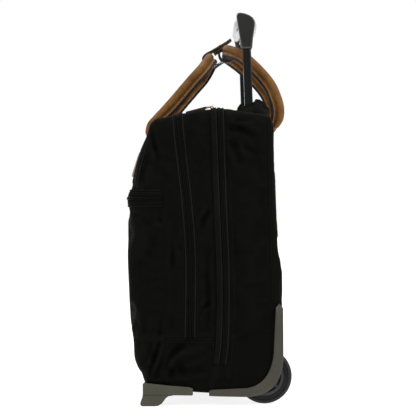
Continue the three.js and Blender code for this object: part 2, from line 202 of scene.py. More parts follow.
def leather(name, colour, roughness=0.5, pore=0.0009, wear=1.35):
    s = Shader(name, colour, roughness, gloss=0.14, Coat_Weight=0.03, Coat_Roughness=0.4)
    cells = s.node("TexVoronoi", ("feature", "DISTANCE_TO_EDGE"), Vector=s.point, Scale=1.0 / pore)
    grain = s.ramp(cells.outputs["Distance"], 0.0, 0.35)
    blotch = s.noise(55.0, 6.0, 0.62)
    s.base(s.ramp(s.blend(blotch, s.noise(210.0), 0.3), 0.33, 0.67), 0.55, wear)
    s.rough(s.ramp(blotch, 0.3, 0.7, roughness + 0.12, roughness - 0.08))
    creases = s.bump(s.noise(330.0, 4.0), 0.0004, 0.35)
    s.bump(grain, 0.00018, 0.6, under=creases)
    return s.material


def plastic(name, colour, roughness, grain=0.00035, coat=0.0, scuff=0.25, gloss=0.3):
    s = Shader(name, colour, roughness, gloss=gloss, Coat_Weight=coat, Coat_Roughness=0.12)
    s.base(s.ramp(s.noise(24.0, 4.0), 0.3, 0.7), 0.9, 1.12)
    s.rough(s.ramp(s.noise(70.0, 6.0, 0.65), 0.35, 0.75, roughness - 0.06, roughness + scuff * 0.5))
    s.bump(s.noise(1.0 / grain, 2.0), 0.00006, 0.55)
    return s.material


def metal(name, colour, roughness, brush=(1.0, 1.0, 1.0), scale=900.0):
    s = Shader(name, colour, roughness, 1.0)
    streak = s.noise(scale, 3.0, 0.6, stretch=brush)
    s.base(s.ramp(s.noise(60.0, 4.0), 0.3, 0.7), 0.82, 1.08)
    s.rough(s.ramp(streak, 0.3, 0.7, max(roughness - 0.08, 0.04), roughness + 0.12))
    s.bump(streak, 0.00002, 0.35)
    return s.material


def rubber(name, colour):
    s = Shader(name, colour, 0.62, gloss=0.25)
    dust = s.noise(46.0, 6.0, 0.65)
    s.base(s.ramp(dust, 0.42, 0.72), 0.8, 1.7)
    s.rough(s.ramp(dust, 0.3, 0.7, 0.52, 0.78))
    s.bump(s.noise(1400.0), 0.00008, 0.5)
    return s.material


# The main nylon has painted shade in its creases and a painted highlight on its ridges (folds).
NYLON = fabric("nylon", (0.0020, 0.0020, 0.0017), 0.00045, folds=0.75)
NYLON_RIB = fabric("nylon_rib", (0.0031, 0.0031, 0.0026), 0.0007, sheen=0.005, gloss=0.03)
TAPE = fabric("zip_tape", (0.0024, 0.0024, 0.0020), 0.0006)
# Piping: the same nylon made paler, a painted highlight for the light that the round cords catch.
PIPING_PAINTED_HIGHLIGHT = fabric("piping", (0.0062, 0.0062, 0.0052), 0.0007, sheen=0.01, gloss=0.04)
COIL = plastic("zip_coil", (0.0020, 0.0020, 0.0018), 0.38, gloss=0.04)
THREAD = fabric("thread", (0.0075, 0.0074, 0.0064), 0.0003, sheen=0.01, gloss=0.04)
LINING = fabric("lining", (0.026, 0.0245, 0.0215), roughness=0.6)
LEATHER = leather("tan_leather", (0.134, 0.0585, 0.0125))
EDGE_PAINT = leather("edge_paint", (0.010, 0.011, 0.016), 0.35, wear=1.2)
TAN_THREAD = leather("tan_thread", (0.34, 0.19, 0.075), 0.6)
DARK_LEATHER = leather("dark_leather", (0.030, 0.019, 0.013))
PATCH_LEATHER = leather("patch_leather", (0.33, 0.23, 0.165), 0.55)
OLIVE = plastic("olive_plastic", (0.043, 0.0415, 0.0290), 0.46, gloss=0.22)
GUARD_OLIVE = plastic("guard_olive", (0.0355, 0.0345, 0.0245), 0.46, gloss=0.2)
BLACK_PLASTIC = plastic("black_plastic", (0.006, 0.006, 0.006), 0.45, gloss=0.2)
GRIP = plastic("grip_plastic", (0.010, 0.011, 0.0095), 0.2, coat=0.5, scuff=0.08, gloss=0.4)
GRIP_SOFT = plastic("grip_soft_face", (0.0132, 0.0140, 0.0116), 0.55, scuff=0.1, gloss=0.08)
BOARD = plastic("board", (0.03, 0.03, 0.03), 0.6, grain=0.0012)
HUB = plastic("hub_plastic", (0.03, 0.031, 0.029), 0.42)
TYRE = rubber("tyre_rubber", (0.009, 0.0095, 0.009))
TUBE = plastic("tube_black", (0.0022, 0.0025, 0.0030), 0.16, coat=0.05, scuff=0.05, gloss=0.1)
ALUMINIUM = metal("tube_plain", (0.50, 0.51, 0.52), 0.34, brush=(1.0, 1.0, 0.02))
STEEL = metal("steel", (0.42, 0.43, 0.45), 0.3)
BRASS = metal("brass", (0.62, 0.38, 0.12), 0.2, scale=500.0)

# ---------------- pieces and mesh helpers

# The colour slot that goes with a material, where the two names differ.
USUAL_SLOT = {
    "nylon_rib": "nylon", "piping": "nylon", "zip_tape": "zip", "zip_coil": "zip", "thread": "zip",
    "tan_leather": "leather", "tan_thread": "leather", "edge_paint": "dark_leather", "guard_olive": "olive_plastic",
    "grip_soft_face": "grip_plastic", "hub_plastic": "wheel_hub", "tyre_rubber": "tyre",
}


def slot_of(material):
    name = material.name.split(".")[0]
    return USUAL_SLOT.get(name, name)


def declare(obj, body, nodes=(), slot=None):
    """Rides a piece on its body, and hides the CAD nodes that it stands for. slot is not used."""
    if body:
        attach(obj, body)
    if nodes:
        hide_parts(*nodes)
    return obj


def paint(mesh, *materials):
    mesh.materials.clear()
    for material in materials:
        mesh.materials.append(material)


def new_piece(name, mesh, *materials):
    obj = add_object(name, mesh)
    paint(mesh, *materials)
    mesh.shade_smooth()
    return obj


def piece(name, vertices, faces, *materials):
    mesh = bpy.data.meshes.new(name)
    mesh.from_pydata([tuple(v) for v in vertices], [], faces)
    mesh.validate()
    return new_piece(name, mesh, *materials)


def modify(obj, kind, apply=True, **settings):
    """Adds a modifier, and unless told not to, applies it."""
    made = obj.modifiers.new(kind, kind)
    for key, value in settings.items():
        setattr(made, key, value)
    if apply:
        bpy.context.view_layer.update()
        old = obj.data
        obj.data = bpy.data.meshes.new_from_object(obj.evaluated_get(bpy.context.evaluated_depsgraph_get()))
        obj.modifiers.clear()
        paint(obj.data, *list(old.materials))
        bpy.data.meshes.remove(old)


def subdivide(obj, apply=True, **settings):
    modify(obj, "SUBSURF", apply, levels=1, render_levels=1, **settings)


def cut(obj, cutter):
    modify(obj, "BOOLEAN", operation="DIFFERENCE", solver="EXACT", object=cutter)
    bpy.data.objects.remove(cutter)


def smooth_angle(obj, angle):
    """Smooth shading with sharp edges kept, stored in the mesh."""
    b = bmesh.new()
    b.from_mesh(obj.data)
    for edge in b.edges:
        edge.smooth = len(edge.link_faces) == 2 and edge.calc_face_angle(0.0) < math.radians(angle)
    for face in b.faces:
        face.smooth = True
    b.to_mesh(obj.data)
    b.free()


def solid(name, lower, upper, body, material, edge, segments=3, angle=40, **told):
    """Two outlines of points, joined into a solid whose edges are rounded by edge millimetres."""
    b = bmesh.new()
    low, high = ([b.verts.new(p) for p in outline] for outline in (lower, upper))
    b.faces.new(low)
    b.faces.new(high[::-1])
    for i in range(len(low)):
        j = (i + 1) % len(low)
        b.faces.new((low[i], high[i], high[j], low[j]))
    bmesh.ops.recalc_face_normals(b, faces=b.faces)
    mesh = bpy.data.meshes.new(name)
    b.to_mesh(mesh)
    b.free()
    obj = new_piece(name, mesh, material)
    if edge:
        modify(obj, "BEVEL", width=edge * MM, segments=segments, limit_method="ANGLE", angle_limit=math.radians(35))
        smooth_angle(obj, angle)
    return declare(obj, body, **told)


def prism(name, outline, ends, body, material, edge, segments=3, **told):
    """An outline in X-Z, carried along Y between the two ends."""
    lower, upper = ([at(x, y, z) for x, z in outline] for y in sorted(ends))
    return solid(name, lower, upper, body, material, edge, segments, **told)


def sweep(name, rings, body, *materials, closed=False, painted=(), angle=None, **told):
    """Joins rings of points into a tube. The columns of faces in painted have the second material."""
    count, last = len(rings[0]), len(rings) - 1
    faces = []
    for i in range(last + closed):
        a, b = i * count, (i + 1) % len(rings) * count
        faces += [(a + j, a + (j + 1) % count, b + (j + 1) % count, b + j) for j in range(count)]
    sides = len(faces)
    if not closed:
        faces += [tuple(reversed(range(count))), tuple(last * count + j for j in range(count))]
    obj = piece(name, [p for ring in rings for p in ring], faces, *materials)
    if painted:
        for index, polygon in enumerate(obj.data.polygons):
            polygon.material_index = int(index < sides and index % count in painted)
    b = bmesh.new()
    b.from_mesh(obj.data)
    bmesh.ops.recalc_face_normals(b, faces=b.faces)
    b.to_mesh(obj.data)
    b.free()
    if angle:
        smooth_angle(obj, angle)
    return declare(obj, body, **told)


def mirrored(half):
    """Points on one side of b = 0, and then their mirror images, back to the first one's."""
    return half + [(a, -b) for a, b in reversed(half)]


def box(low_a, low_b, high_a, high_b):
    return [(low_a, low_b), (high_a, low_b), (high_a, high_b), (low_a, high_b)]


def circle(count, radius=1.0):
    """Even points round a circle."""
    turns = (2 * math.pi * k / count for k in range(count))
    return [(radius * math.cos(t), radius * math.sin(t)) for t in turns]


def tube_along(name, path, radius, body, material, sides=8, ribs=0.0, closed=False, **told):
    """A round cord through a path of (point, outward normal). ribs makes every second ring that much thinner."""
    rings = []
    for i, (point, normal) in enumerate(path):
        before = path[i - 1][0] if i or closed else point
        after = path[(i + 1) % len(path)][0] if i + 1 < len(path) or closed else point
        along = (after - before).normalized()
        side = along.cross(normal).normalized()
        up = side.cross(along).normalized()
        r = radius * MM * (1.0 - ribs * (i % 2))
        rings.append([point + (side * a + up * b) * r for a, b in circle(sides)])
    return sweep(name, rings, body, material, closed=closed, **told)


def coil_along(name, path, radius, body, **told):
    """One row of zip teeth."""
    tube_along(name, resample(path, 0.9 * MM), radius, body, COIL, sides=6, ribs=0.28, **told)


def resample(path, step):
    """The same polyline of (point, normal) at even steps, in metres."""
    lengths = [0.0]
    for (p, _), (q, _) in zip(path, path[1:]):
        lengths.append(lengths[-1] + (q - p).length)
    count = max(int(lengths[-1] / step), 2)
    result = []
    segment = 0
    for i in range(count + 1):
        target = lengths[-1] * i / count
        while segment < len(path) - 2 and lengths[segment + 1] < target:
            segment += 1
        span = lengths[segment + 1] - lengths[segment] or 1.0
        t = min(max((target - lengths[segment]) / span, 0.0), 1.0)
        (p, n), (q, m) = path[segment], path[segment + 1]
        result.append((p.lerp(q, t), n.lerp(m, t).normalized()))
    return result


def stitches(name, path, body, material, pitch=3.4, length=2.4, radius=0.32, lift=0.15, **told):
    """A row of thread dashes along a path, each a square rod that narrows at its ends."""
    points = resample(path, pitch * MM)
    vertices, faces = [], []
    for i in range(1, len(points) - 1):
        point, normal = points[i]
        along = (points[i + 1][0] - points[i - 1][0]).normalized()
        side = along.cross(normal).normalized()
        centre = point + normal * lift * MM
        base = len(vertices)
        for share, thick in ((-1, 0.35), (-0.6, 1.0), (0.6, 1.0), (1, 0.35)):
            for a, c in ((1, 0), (0, 1), (-1, 0), (0, -1)):
                vertices.append(centre + (along * share * length / 2 + (side * a + normal * c) * radius * thick) * MM)
        for k in range(base, base + 12, 4):
            faces += [(k + j, k + (j + 1) % 4, k + (j + 1) % 4 + 4, k + j + 4) for j in range(4)]
        faces += [(base + 3, base + 2, base + 1, base), (base + 12, base + 13, base + 14, base + 15)]
    return declare(piece(name, vertices, faces, material), body, **told)


def strip(name, rails, body, material, thickness, lift=0.0, **told):
    """A flat band between rails, which are paths of (point, normal) side by side; thickness is along the normal."""
    rings = [
        [p + n * (lift + thickness) * MM for p, n in row] + [p + n * lift * MM for p, n in reversed(row)]
        for row in zip(*rails)
    ]
    return sweep(name, rings, body, material, **told)


# ---------------- lines shared with the CAD model

def spline(points, steps=12):
    """A smooth curve through 2D or 3D points."""
    points = [np.array(p, float) for p in points]
    padded = [2 * points[0] - points[1], *points, 2 * points[-1] - points[-2]]
    result = []
    for i in range(1, len(padded) - 2):
        a, b, c, d = padded[i - 1:i + 3]
        for t in (k / steps for k in range(steps)):
            result.append(0.5 * (2 * b + (c - a) * t + (2 * a - 5 * b + 4 * c - d) * t * t
                                 + (3 * b - a - 3 * c + d) * t ** 3))
    result.append(points[-1])
    return result


def bend(start, corner, end, steps=8):
    a, b, c = (np.array(p, float) for p in (start, corner, end))
    return [(1 - t) ** 2 * a + 2 * t * (1 - t) * b + t * t * c for t in np.linspace(0, 1, steps + 1)]


MAIN_ZIP = [(15.5, 56), (19.3, 89), (20.5, 170), (16.5, 278), (12.2, 398.5)]
FRONT_ZIP = [(-24.5, 91.2), (-23.5, 197), (-29, 278), (-37, 346), (-41.5, 393)]
SEAM_Z = 90.5
HINGE = (0.5, 20.4)

# The side outline in X-Z: under the case to the back, up, over the top to the front, and down.
BASE_LINE = [(-85.8, 30.0), (-40, 21.6), (-20, 18.0), (0.3, 16.6), (45, 17.4),
             *bend((45, 17.4), (95.2, 18.2), (95.4, 83.5))[1:]]
BACK_LINE = [(95.8, 110), (96.2, 138), (96.2, 156), (95.8, 180), (94.4, 223), (92.8, 264), (91.0, 300), (89.4, 348),
             (89.4, 372), (88.2, 386)]
TOP_LINE = [(84.5, 394.4), (64, 396.6), (45, 399.4), (27, 402.4), (12, 402.8), (-14, 398.8), (-41, 394.8),
            (-62, 390.0), (-74, 386.2)]
FRONT_LINE = [(-76.4, 383.4), (-76.2, 374), (-78.0, 364.5), (-82.4, 354), (-86.0, 345), (-89.4, 335), (-94.6, 316),
              (-97.6, 305), (-104.0, 293.5), (-108.6, 287), (-110.0, 280), (-109.2, 272), (-105.4, 258),
              (-104.2, 184), (-102.2, 136), (-102.4, 91), (-97.4, 62), (-88.4, 36)]


def zip_curve(points):
    curve = np.array(spline(points))
    return curve[:, 1], curve[:, 0]


CURVES = {id(line): zip_curve(line) for line in (MAIN_ZIP, FRONT_ZIP)}


def zip_x(points, z):
    """Where a zip line is at height z; works on arrays too."""
    return np.interp(z, *CURVES[id(points)])


def main_border(x, z):
    """Above 0 behind the line between the rear case and the main section."""
    low_x, low_z = MAIN_ZIP[0]
    foot = HINGE[0] + 1.0 + (z - HINGE[1]) / (low_z - HINGE[1]) * (low_x - HINGE[0] - 1.0)
    return x - np.where(z > low_z, zip_x(MAIN_ZIP, z), foot)


def front_border(x, z):
    """Above 0 behind the front zip."""
    return x - zip_x(FRONT_ZIP, np.maximum(z, FRONT_ZIP[0][1]))


def panel_x(line, z):
    """Where the front or back of the case is at height z."""
    return float(np.interp(z, *zip(*sorted((p[1], p[0]) for p in line))))


# ---------------- the soft body

ROUND_FRONT = 24.0
ROUND_TOP = 11.0
ROUND_BACK = 10.0
ROUND_BASE = 3.0
VOXEL = 5.0
BULGE_CAP = 5.5 * MM
CREASE_GAIN = 1.7
PAD_BULGE = 4.5
CLOTH_FRAMES = 18
SEAM_FADE = 7.0
SHELL_THICKNESS = 2.2
SNAP_LIMIT = 3.0

# Creases of the side fabric: start, end, depth and width, in X-Z millimetres.
CREASES = [
    ((-82, 34), (-58, 117), 3.4, 3.2), ((-58, 112), (-57, 264), 1.8, 3.0), ((-80, 36), (-30, 88), 2.6, 4.5),
    ((-79, 35), (-4, 52), 2.3, 6.0), ((-70, 44), (-8, 84), -2.2, 6.0), ((-87, 196), (-86, 244), -2.2, 7.0),
    ((-72, 60), (-92, 122), 1.6, 6.0), ((-90, 62), (-76, 112), -1.8, 5.0), ((-66, 258), (-56, 246), 2.2, 6.0),
    ((-50, 226), (-51, 165), 1.6, 4.0), ((-94, 300), (-81, 345), 1.3, 5.0), ((-75, 380), (-70, 326), 2.0, 3.6),
    ((23, 391), (72, 372), -2.8, 5.0), ((29, 361), (50, 326), 2.4, 6.0), ((47, 359), (66, 338), 2.0, 5.0),
    ((1, 271), (-8, 238), 1.8, 4.0), ((1, 145), (-10, 120), 1.8, 4.0), ((-2, 100), (3, 215), 1.3, 4.0),
    ((30, 58), (70, 92), 1.3, 9.0), ((26, 34), (60, 48), -1.6, 8.0), ((40, 180), (84, 205), 0.9, 12.0),
    ((60, 300), (80, 250), 0.8, 12.0), ((-46, 60), (-22, 36), 1.2, 5.0), ((30, 250), (46, 150), 0.8, 9.0),
]


def body_rings():
    """The side outline, drawn in towards each end so that every edge of the case is round."""
    outline, rounds = [], []
    for line, radius in ((BASE_LINE, ROUND_BASE), (BACK_LINE, ROUND_BACK), (TOP_LINE, ROUND_TOP),
                         (FRONT_LINE, ROUND_FRONT)):
        outline.extend(np.array(p, float) for p in line)
        rounds.extend([radius] * len(line))
    count = len(outline)
    inward = []
    for i in range(count):
        along = outline[(i + 1) % count] - outline[i - 1]
        inward.append(np.array((-along[1], along[0])) / np.linalg.norm(along))
    rounds = [(rounds[i - 1] + rounds[i] * 2 + rounds[(i + 1) % count]) / 4 for i in range(count)]
    angles = list(np.linspace(0, math.pi / 2, 7))
    rings = []
    for side, angle in [(-1, a) for a in angles[::-1]] + [(1, a) for a in angles]:
        drawn = [(p + n * r * (1 - math.cos(angle)), r) for p, n, r in zip(outline, inward, rounds)]
        rings.append([at(q[0], side * (SKIN_HALF - r * (1 - math.sin(angle))), q[1]) for q, r in drawn])
    return rings


def wheel_well(side, radius=46.5):
    """The space that the wheel cup takes out of a rear corner."""
    arc = [(WHEEL_X + radius * math.cos(t), WHEEL_Z + radius * math.sin(t))
           for t in np.linspace(math.radians(35), math.pi, 14)]
    outline = [(140, arc[0][1]), *arc, (WHEEL_X - radius, -20), (140, -20)]
    return prism("well", outline, (side * 140.5, side * 191.5), None, NYLON, 0)


def relax(co, edges, rounds, weight):
    """Moves each point towards the middle of its neighbours; a weight below 0 moves it away."""
    degree = np.bincount(edges.ravel(), minlength=len(co)).astype(float)
    for _ in range(rounds):
        total = np.zeros_like(co)
        np.add.at(total, edges[:, 0], co[edges[:, 1]])
        np.add.at(total, edges[:, 1], co[edges[:, 0]])
        co = co + (total / degree[:, None] - co) * weight
    return co


def coordinates(mesh):
    co = np.empty(len(mesh.vertices) * 3)
    mesh.vertices.foreach_get("co", co)
    return co.reshape(-1, 3)


def move_to(mesh, co):
    mesh.vertices.foreach_set("co", co.ravel())
    mesh.update()


def normals_of(mesh):
    return np.array([v.normal[:] for v in mesh.vertices])


def seam_hold(co):
    """How firmly each point is sewn down: 1 on a seam, 0 in the middle of a panel."""
    x, y, z = (co / MM).T
    x = x - SHIFT
    front = x < zip_x(FRONT_ZIP, np.maximum(z, 92.0))
    gaps = [np.abs(main_border(x, z)) - 9, np.abs(z - 26) - 5]
    for where, gap in (
        (z > 90, np.abs(x - 86) - 3),
        (z > SEAM_Z, np.abs(front_border(x, z)) - 9),
        (front, np.abs(z - 279.5) - 11),
        (front & (z < 268) & (np.abs(y) > SKIN_HALF - 30), np.abs(x + 58) - 2),
        (x < 9, np.abs(z - SEAM_Z) - 2),
        ((x > 30) & (z < 92), 0.0),
        ((x > 38) & (z > 385), 0.0),
    ):
        gaps.append(np.where(where, gap, 99.0))
    nearest = np.maximum(np.min(gaps, axis=0), 0.0)
    return np.maximum(0.0, 1.0 - nearest / SEAM_FADE)


def swell(obj, held):
    """Cloth with a little air behind it; returns the points of the swollen panels."""
    group = obj.vertex_groups.new(name="sewn")
    for i, w in enumerate(held):
        group.add([i], min(1.0, float(w) + 0.02), "REPLACE")
    cloth = obj.modifiers.new("cloth", "CLOTH")
    for key, value in dict(
        vertex_group_mass="sewn", pin_stiffness=1.0, use_pressure=True, uniform_pressure_force=3.0, shrink_min=-0.035,
        tension_stiffness=12, compression_stiffness=12, shear_stiffness=4, bending_stiffness=0.6, quality=5,
    ).items():
        setattr(cloth.settings, key, value)
    cloth.settings.effector_weights.gravity = 0
    cloth.point_cache.frame_start, cloth.point_cache.frame_end = 1, CLOTH_FRAMES
    for f in range(1, CLOTH_FRAMES + 1):
        scene.frame_set(f)
    evaluated = obj.evaluated_get(bpy.context.evaluated_depsgraph_get())
    co = coordinates(evaluated.data).copy()
    obj.modifiers.remove(cloth)
    scene.frame_set(1)
    return co


def crease_depth(x, z):
    total = np.zeros(len(x))
    for (x0, z0), (x1, z1), depth, width in CREASES:
        along = np.array((x1 - x0, z1 - z0), float)
        t = ((x - x0) * along[0] + (z - z0) * along[1]) / (along @ along)
        wander = 3.0 * np.sin(t * 5.0 + x0) * np.sin(t * 2.3 + z0)
        off = ((x - x0) * along[1] - (z - z0) * along[0]) / np.linalg.norm(along) + wander
        fade = np.sin(math.pi * np.clip(t, 0.0, 1.0)) ** 0.6
        total += depth * fade * (np.exp(-(off / width) ** 2) - 0.55 * np.exp(-((off - 1.7 * width) / width) ** 2))
    return total


def wrinkle(co, normals, held):
    """Slack ripples all over the panels, and the padded swell of the upper front."""
    slack = np.array([
        noise.noise(Vector((x * 22, y * 22 + 7.0, z * 13))) * 1.3
        + noise.noise(Vector((x * 60, y * 60, z * 34))) * 0.45
        for x, y, z in co
    ])
    _, y, z = (co / MM).T
    across = np.clip(1 - (y / 185.0) ** 2, 0, 1)
    along = np.clip(1 - ((z - 333.0) / 42.0) ** 2, 0, 1)
    padding = PAD_BULGE * across * along * (normals[:, 0] < -0.5)
    return co - normals * (slack * (1.0 - held) - padding)[:, None] * MM


def crease(mesh):
    """Presses the creases into the side fabric, and leaves its seams where they are."""
    co, normals = coordinates(mesh), normals_of(mesh)
    depth = crease_depth(co[:, 0] / MM - SHIFT, co[:, 2] / MM) * np.abs(normals[:, 1]) ** 1.5
    move_to(mesh, co - normals * (depth * CREASE_GAIN * (1.0 - seam_hold(co)))[:, None] * MM)


def build_body():
    """One closed body of even faces, swollen between its seams."""
    body = sweep("body_block", body_rings(), None, NYLON)
    for _, side in SIDES:
        cut(body, wheel_well(side))
    modify(body, "REMESH", mode="VOXEL", voxel_size=VOXEL * MM)
    mesh = body.data
    edges = np.array([e.vertices[:] for e in mesh.edges])
    start = coordinates(mesh)
    for weight in (0.55, -0.57) * 5:
        start = relax(start, edges, 1, weight)
    move_to(mesh, start)
    held = seam_hold(start)
    move = swell(body, held) - start
    reach = np.linalg.norm(move, axis=1)
    start = relax(start + move * np.minimum(1.0, BULGE_CAP / np.maximum(reach, 1e-9))[:, None], edges, 1, 0.3)
    move_to(mesh, start)
    move_to(mesh, wrinkle(start, normals_of(mesh), held))
    return body


# A section's piece and body, how full its padding is, and the CAD nodes that it stands for.
SECTIONS = (
    ("rear_shell", "rear_case", 0.5,
     ("left_rear_gusset", "right_rear_gusset", "back_panel", "rear_top_panel", "rear_base_panel")),
    ("main_shell", "main_section", 0.45,
     ("left_main_gusset", "right_main_gusset", "main_top_panel", "lower_front_panel", "front_base_panel")),
    ("front_shell", "front_section", 0.45,
     ("left_front_gusset", "right_front_gusset", "front_top_panel", "front_upper_panel", "front_pocket_panel")),
)
REAR, MAIN, FRONT = range(3)


def section_of(x, z):
    if main_border(x, z) > 0:
        return REAR
    return FRONT if z > SEAM_Z and front_border(x, z) < 0 else MAIN


def split_body(body):
    """Cuts the body along its zips into three open shells with a lined inside."""
    b = bmesh.new()
    b.from_mesh(body.data)
    bmesh.ops.triangulate(b, faces=[f for f in b.faces if len(f.verts) > 4])
    centres = [f.calc_center_median() for f in b.faces]
    kinds = [section_of(c.x / MM - SHIFT, c.z / MM) for c in centres]
    b.faces.index_update()
    for v in b.verts:
        met = {kinds[f.index] for f in v.link_faces}
        x, z = v.co.x / MM - SHIFT, v.co.z / MM
        gap = None
        if len(met) == 2 and REAR in met:
            gap = main_border(x, z)
        elif len(met) > 1 and abs(z - SEAM_Z) < 4 and x < zip_x(FRONT_ZIP, 92) - 3:
            v.co.z = SEAM_Z * MM
        elif len(met) > 1 and z > SEAM_Z:
            gap = front_border(x, z)
        if gap is not None:
            v.co.x -= max(min(gap, SNAP_LIMIT), -SNAP_LIMIT) * MM
    for kind, (name, rides_on, fill, nodes) in enumerate(SECTIONS):
        part = b.copy()
        bmesh.ops.delete(part, geom=[f for f, k in zip(part.faces, kinds) if k != kind], context="FACES")
        mesh = bpy.data.meshes.new(name)
        part.to_mesh(mesh)
        part.free()
        shell = new_piece(name, mesh, NYLON, LINING)
        subdivide(shell, boundary_smooth="PRESERVE_CORNERS")
        crease(shell.data)
        modify(shell, "SOLIDIFY", thickness=SHELL_THICKNESS * MM, offset=-1.0, material_offset=1, material_offset_rim=0)
        shell.data.shade_smooth()
        declare(shell, rides_on, nodes)
    b.free()


class Surface:
    """Finds points on the swollen body, for whatever is sewn to it."""

    def __init__(self, obj):
        self.tree = BVHTree.FromObject(obj, bpy.context.evaluated_depsgraph_get())

    def hit(self, point, normal, reach=45.0):
        origin = point + normal * reach * MM
        found, face_normal, _, _ = self.tree.ray_cast(origin, -normal, 2.4 * reach * MM)
        if found is None:
            found, face_normal, _, _ = self.tree.find_nearest(point)
        if face_normal.dot(normal) < 0:
            face_normal = -face_normal
        return found, (face_normal + normal * 1.5).normalized()

    def wrap(self, near, across):
        """A line over the body from a near half, a middle, and the near half mirrored."""
        far = [(Vector((p.x, -p.y, p.z)), Vector((n.x, -n.y, n.z))) for p, n in reversed(near)]
        return soften([self.hit(p, n) for p, n in near + across + far])


PATH_STEP = 4.0
QUARTER = [(math.cos(t), math.sin(t)) for t in np.linspace(0, math.pi / 2, 9)]


def loop_path(surface, curve, dx=0.0):
    """Up the near side, across the top and down the far side, dx behind a zip line."""
    top, r = curve[-1][1], ROUND_TOP + 3

    def row(y, z, ny, nz):
        return at(zip_x(curve, z) + dx, y, z), Vector((0, ny, nz))

    near = [row(-HALF, z, -1, 0) for z in np.arange(curve[0][1], top - r, PATH_STEP)]
    near += [row(-HALF + r - r * c, top - r + r * s, -c, s) for c, s in QUARTER]
    return surface.wrap(near, [row(y, top, 0, 1) for y in np.arange(-HALF + r + PATH_STEP, HALF - r, PATH_STEP)])


def girdle_path(surface, z, dz=0.0, x_from=-62):
    """From the near side round the front to the far side, at one height."""
    x_front, r = panel_x(FRONT_LINE, z), ROUND_FRONT

    def row(x, y, nx, ny):
        return at(x, y, z + dz), Vector((nx, ny, 0))

    near = [row(x, -HALF, 0, -1) for x in np.arange(x_from, x_front + r, -PATH_STEP)]
    near += [row(x_front + r - r * s, -HALF + r - r * c, -s, -c) for c, s in QUARTER]
    return surface.wrap(near, [row(x_front, y, -1, 0) for y in np.arange(-HALF + r + PATH_STEP, HALF - r, PATH_STEP)])


def side_path(surface, points, side):
    """A line on one side of the case through X-Z points."""
    path = [surface.hit(at(x, side * HALF, z), Vector((0, side, 0))) for x, z in spline(points, 10)]
    return resample(soften(path), PATH_STEP * MM)


def soften(path, rounds=2):
    for _ in range(rounds):
        inner = [((p + q * 2 + r) / 4, (n + m * 2 + o).normalized())
                 for (p, n), (q, m), (r, o) in zip(path, path[1:], path[2:])]
        path = [path[0], *inner, path[-1]]
    return path


def lifted(path, lift):
    return [(p + n * lift * MM, n) for p, n in path]


# ---------------- zips and seams

COIL_ROWS = (("a", -0.95), ("b", 0.95))
COIL_RADIUS = 1.1


def seam_band(surface, curve, name, body, near, far, material, thickness=0.7, lift=0.15):
    """A strip sewn along a zip line, from near to far behind it."""
    rails = [loop_path(surface, curve, d) for d in np.linspace(near, far, 3)]
    strip(name, rails, body, material, thickness, lift)


def piping(surface, curve, name, body, dx, radius, lift=0.4):
    # The cord is in the paler piping nylon, its painted highlight.
    tube_along(name, lifted(loop_path(surface, curve, dx), lift), radius, body, PIPING_PAINTED_HIGHLIGHT)


def zip_coil(surface, curve, name, body, dx, lift=1.0):
    for tag, offset in COIL_ROWS:
        line = lifted(loop_path(surface, curve, dx + offset), lift)
        coil_along(f"{name}_coil_{tag}", line, COIL_RADIUS, body, nodes=(f"{name}_chain",) if tag == "a" else ())


def front_zip(surface):
    """A narrow zip with piping on both edges."""
    for tag, body, sign in (("front", "front_section", -1), ("rear", "main_section", 1)):
        name = f"front_zip_{tag}"
        piping(surface, FRONT_ZIP, f"{name}_piping", body, sign * 6.4, 1.15)
        seam_band(surface, FRONT_ZIP, f"{name}_tape", body, *sorted((sign * 0.9, sign * 5.6)), TAPE)
        for row, (d, lift) in enumerate(((4.0, 0.75), (9.4, 0.1))):
            line = lifted(loop_path(surface, FRONT_ZIP, sign * d), lift)
            stitches(f"{name}_stitches_{row + 1}", line, body, THREAD)
    zip_coil(surface, FRONT_ZIP, "front_zip", "main_section", 0.0)


def main_zip(surface):
    """A broad flap of the main section half covers this zip; its coil and piping lie behind the flap."""
    seam_band(surface, MAIN_ZIP, "main_zip_flap", "main_section", -8.6, -1.6, NYLON_RIB, 1.5, 0.2)
    piping(surface, MAIN_ZIP, "main_zip_flap_hem", "main_section", -1.7, 0.95, 1.2)
    seam_band(surface, MAIN_ZIP, "main_zip_front_tape", "main_section", -2.2, -0.2, TAPE, 0.5, 0.1)
    seam_band(surface, MAIN_ZIP, "main_zip_rear_tape", "rear_case", 0.4, 7.2, TAPE)
    piping(surface, MAIN_ZIP, "main_zip_rear_piping", "rear_case", 7.9, 1.2)
    for body, d, lift in (("main_section", -7.6, 1.75), ("main_section", -4.2, 1.75), ("rear_case", 5.4, 0.8),
                          ("rear_case", 14.6, 0.1)):
        line = lifted(loop_path(surface, MAIN_ZIP, d), lift)
        stitches(f"main_zip_stitches_{body}_{abs(d):.0f}", line, body, THREAD)
    zip_coil(surface, MAIN_ZIP, "main_zip", "rear_case", 2.2)


def pocket_zip(surface, z=280.5, edge=10.5, body="front_section"):
    """The pocket's zip runs level round the front; edge is how far its piping lies above and below the coil."""
    for tag, sign in (("upper", 1), ("lower", -1)):
        name = f"pocket_zip_{tag}"
        tube_along(f"{name}_piping", lifted(girdle_path(surface, z, sign * edge), 0.3), 1.4, body, NYLON_RIB)
        rails = [girdle_path(surface, z, sign * d) for d in (0.9, edge * 0.5, edge - 1.0)]
        strip(f"{name}_tape", rails, body, TAPE, 0.7, 0.15, nodes=("pocket_zip_band",) if sign > 0 else ())
        stitches(f"{name}_stitches", lifted(girdle_path(surface, z, sign * (edge - 2.8)), 0.75), body, THREAD)
    for tag, offset in COIL_ROWS:
        coil_along(f"pocket_zip_coil_{tag}", lifted(girdle_path(surface, z, offset), 1.0), COIL_RADIUS, body)


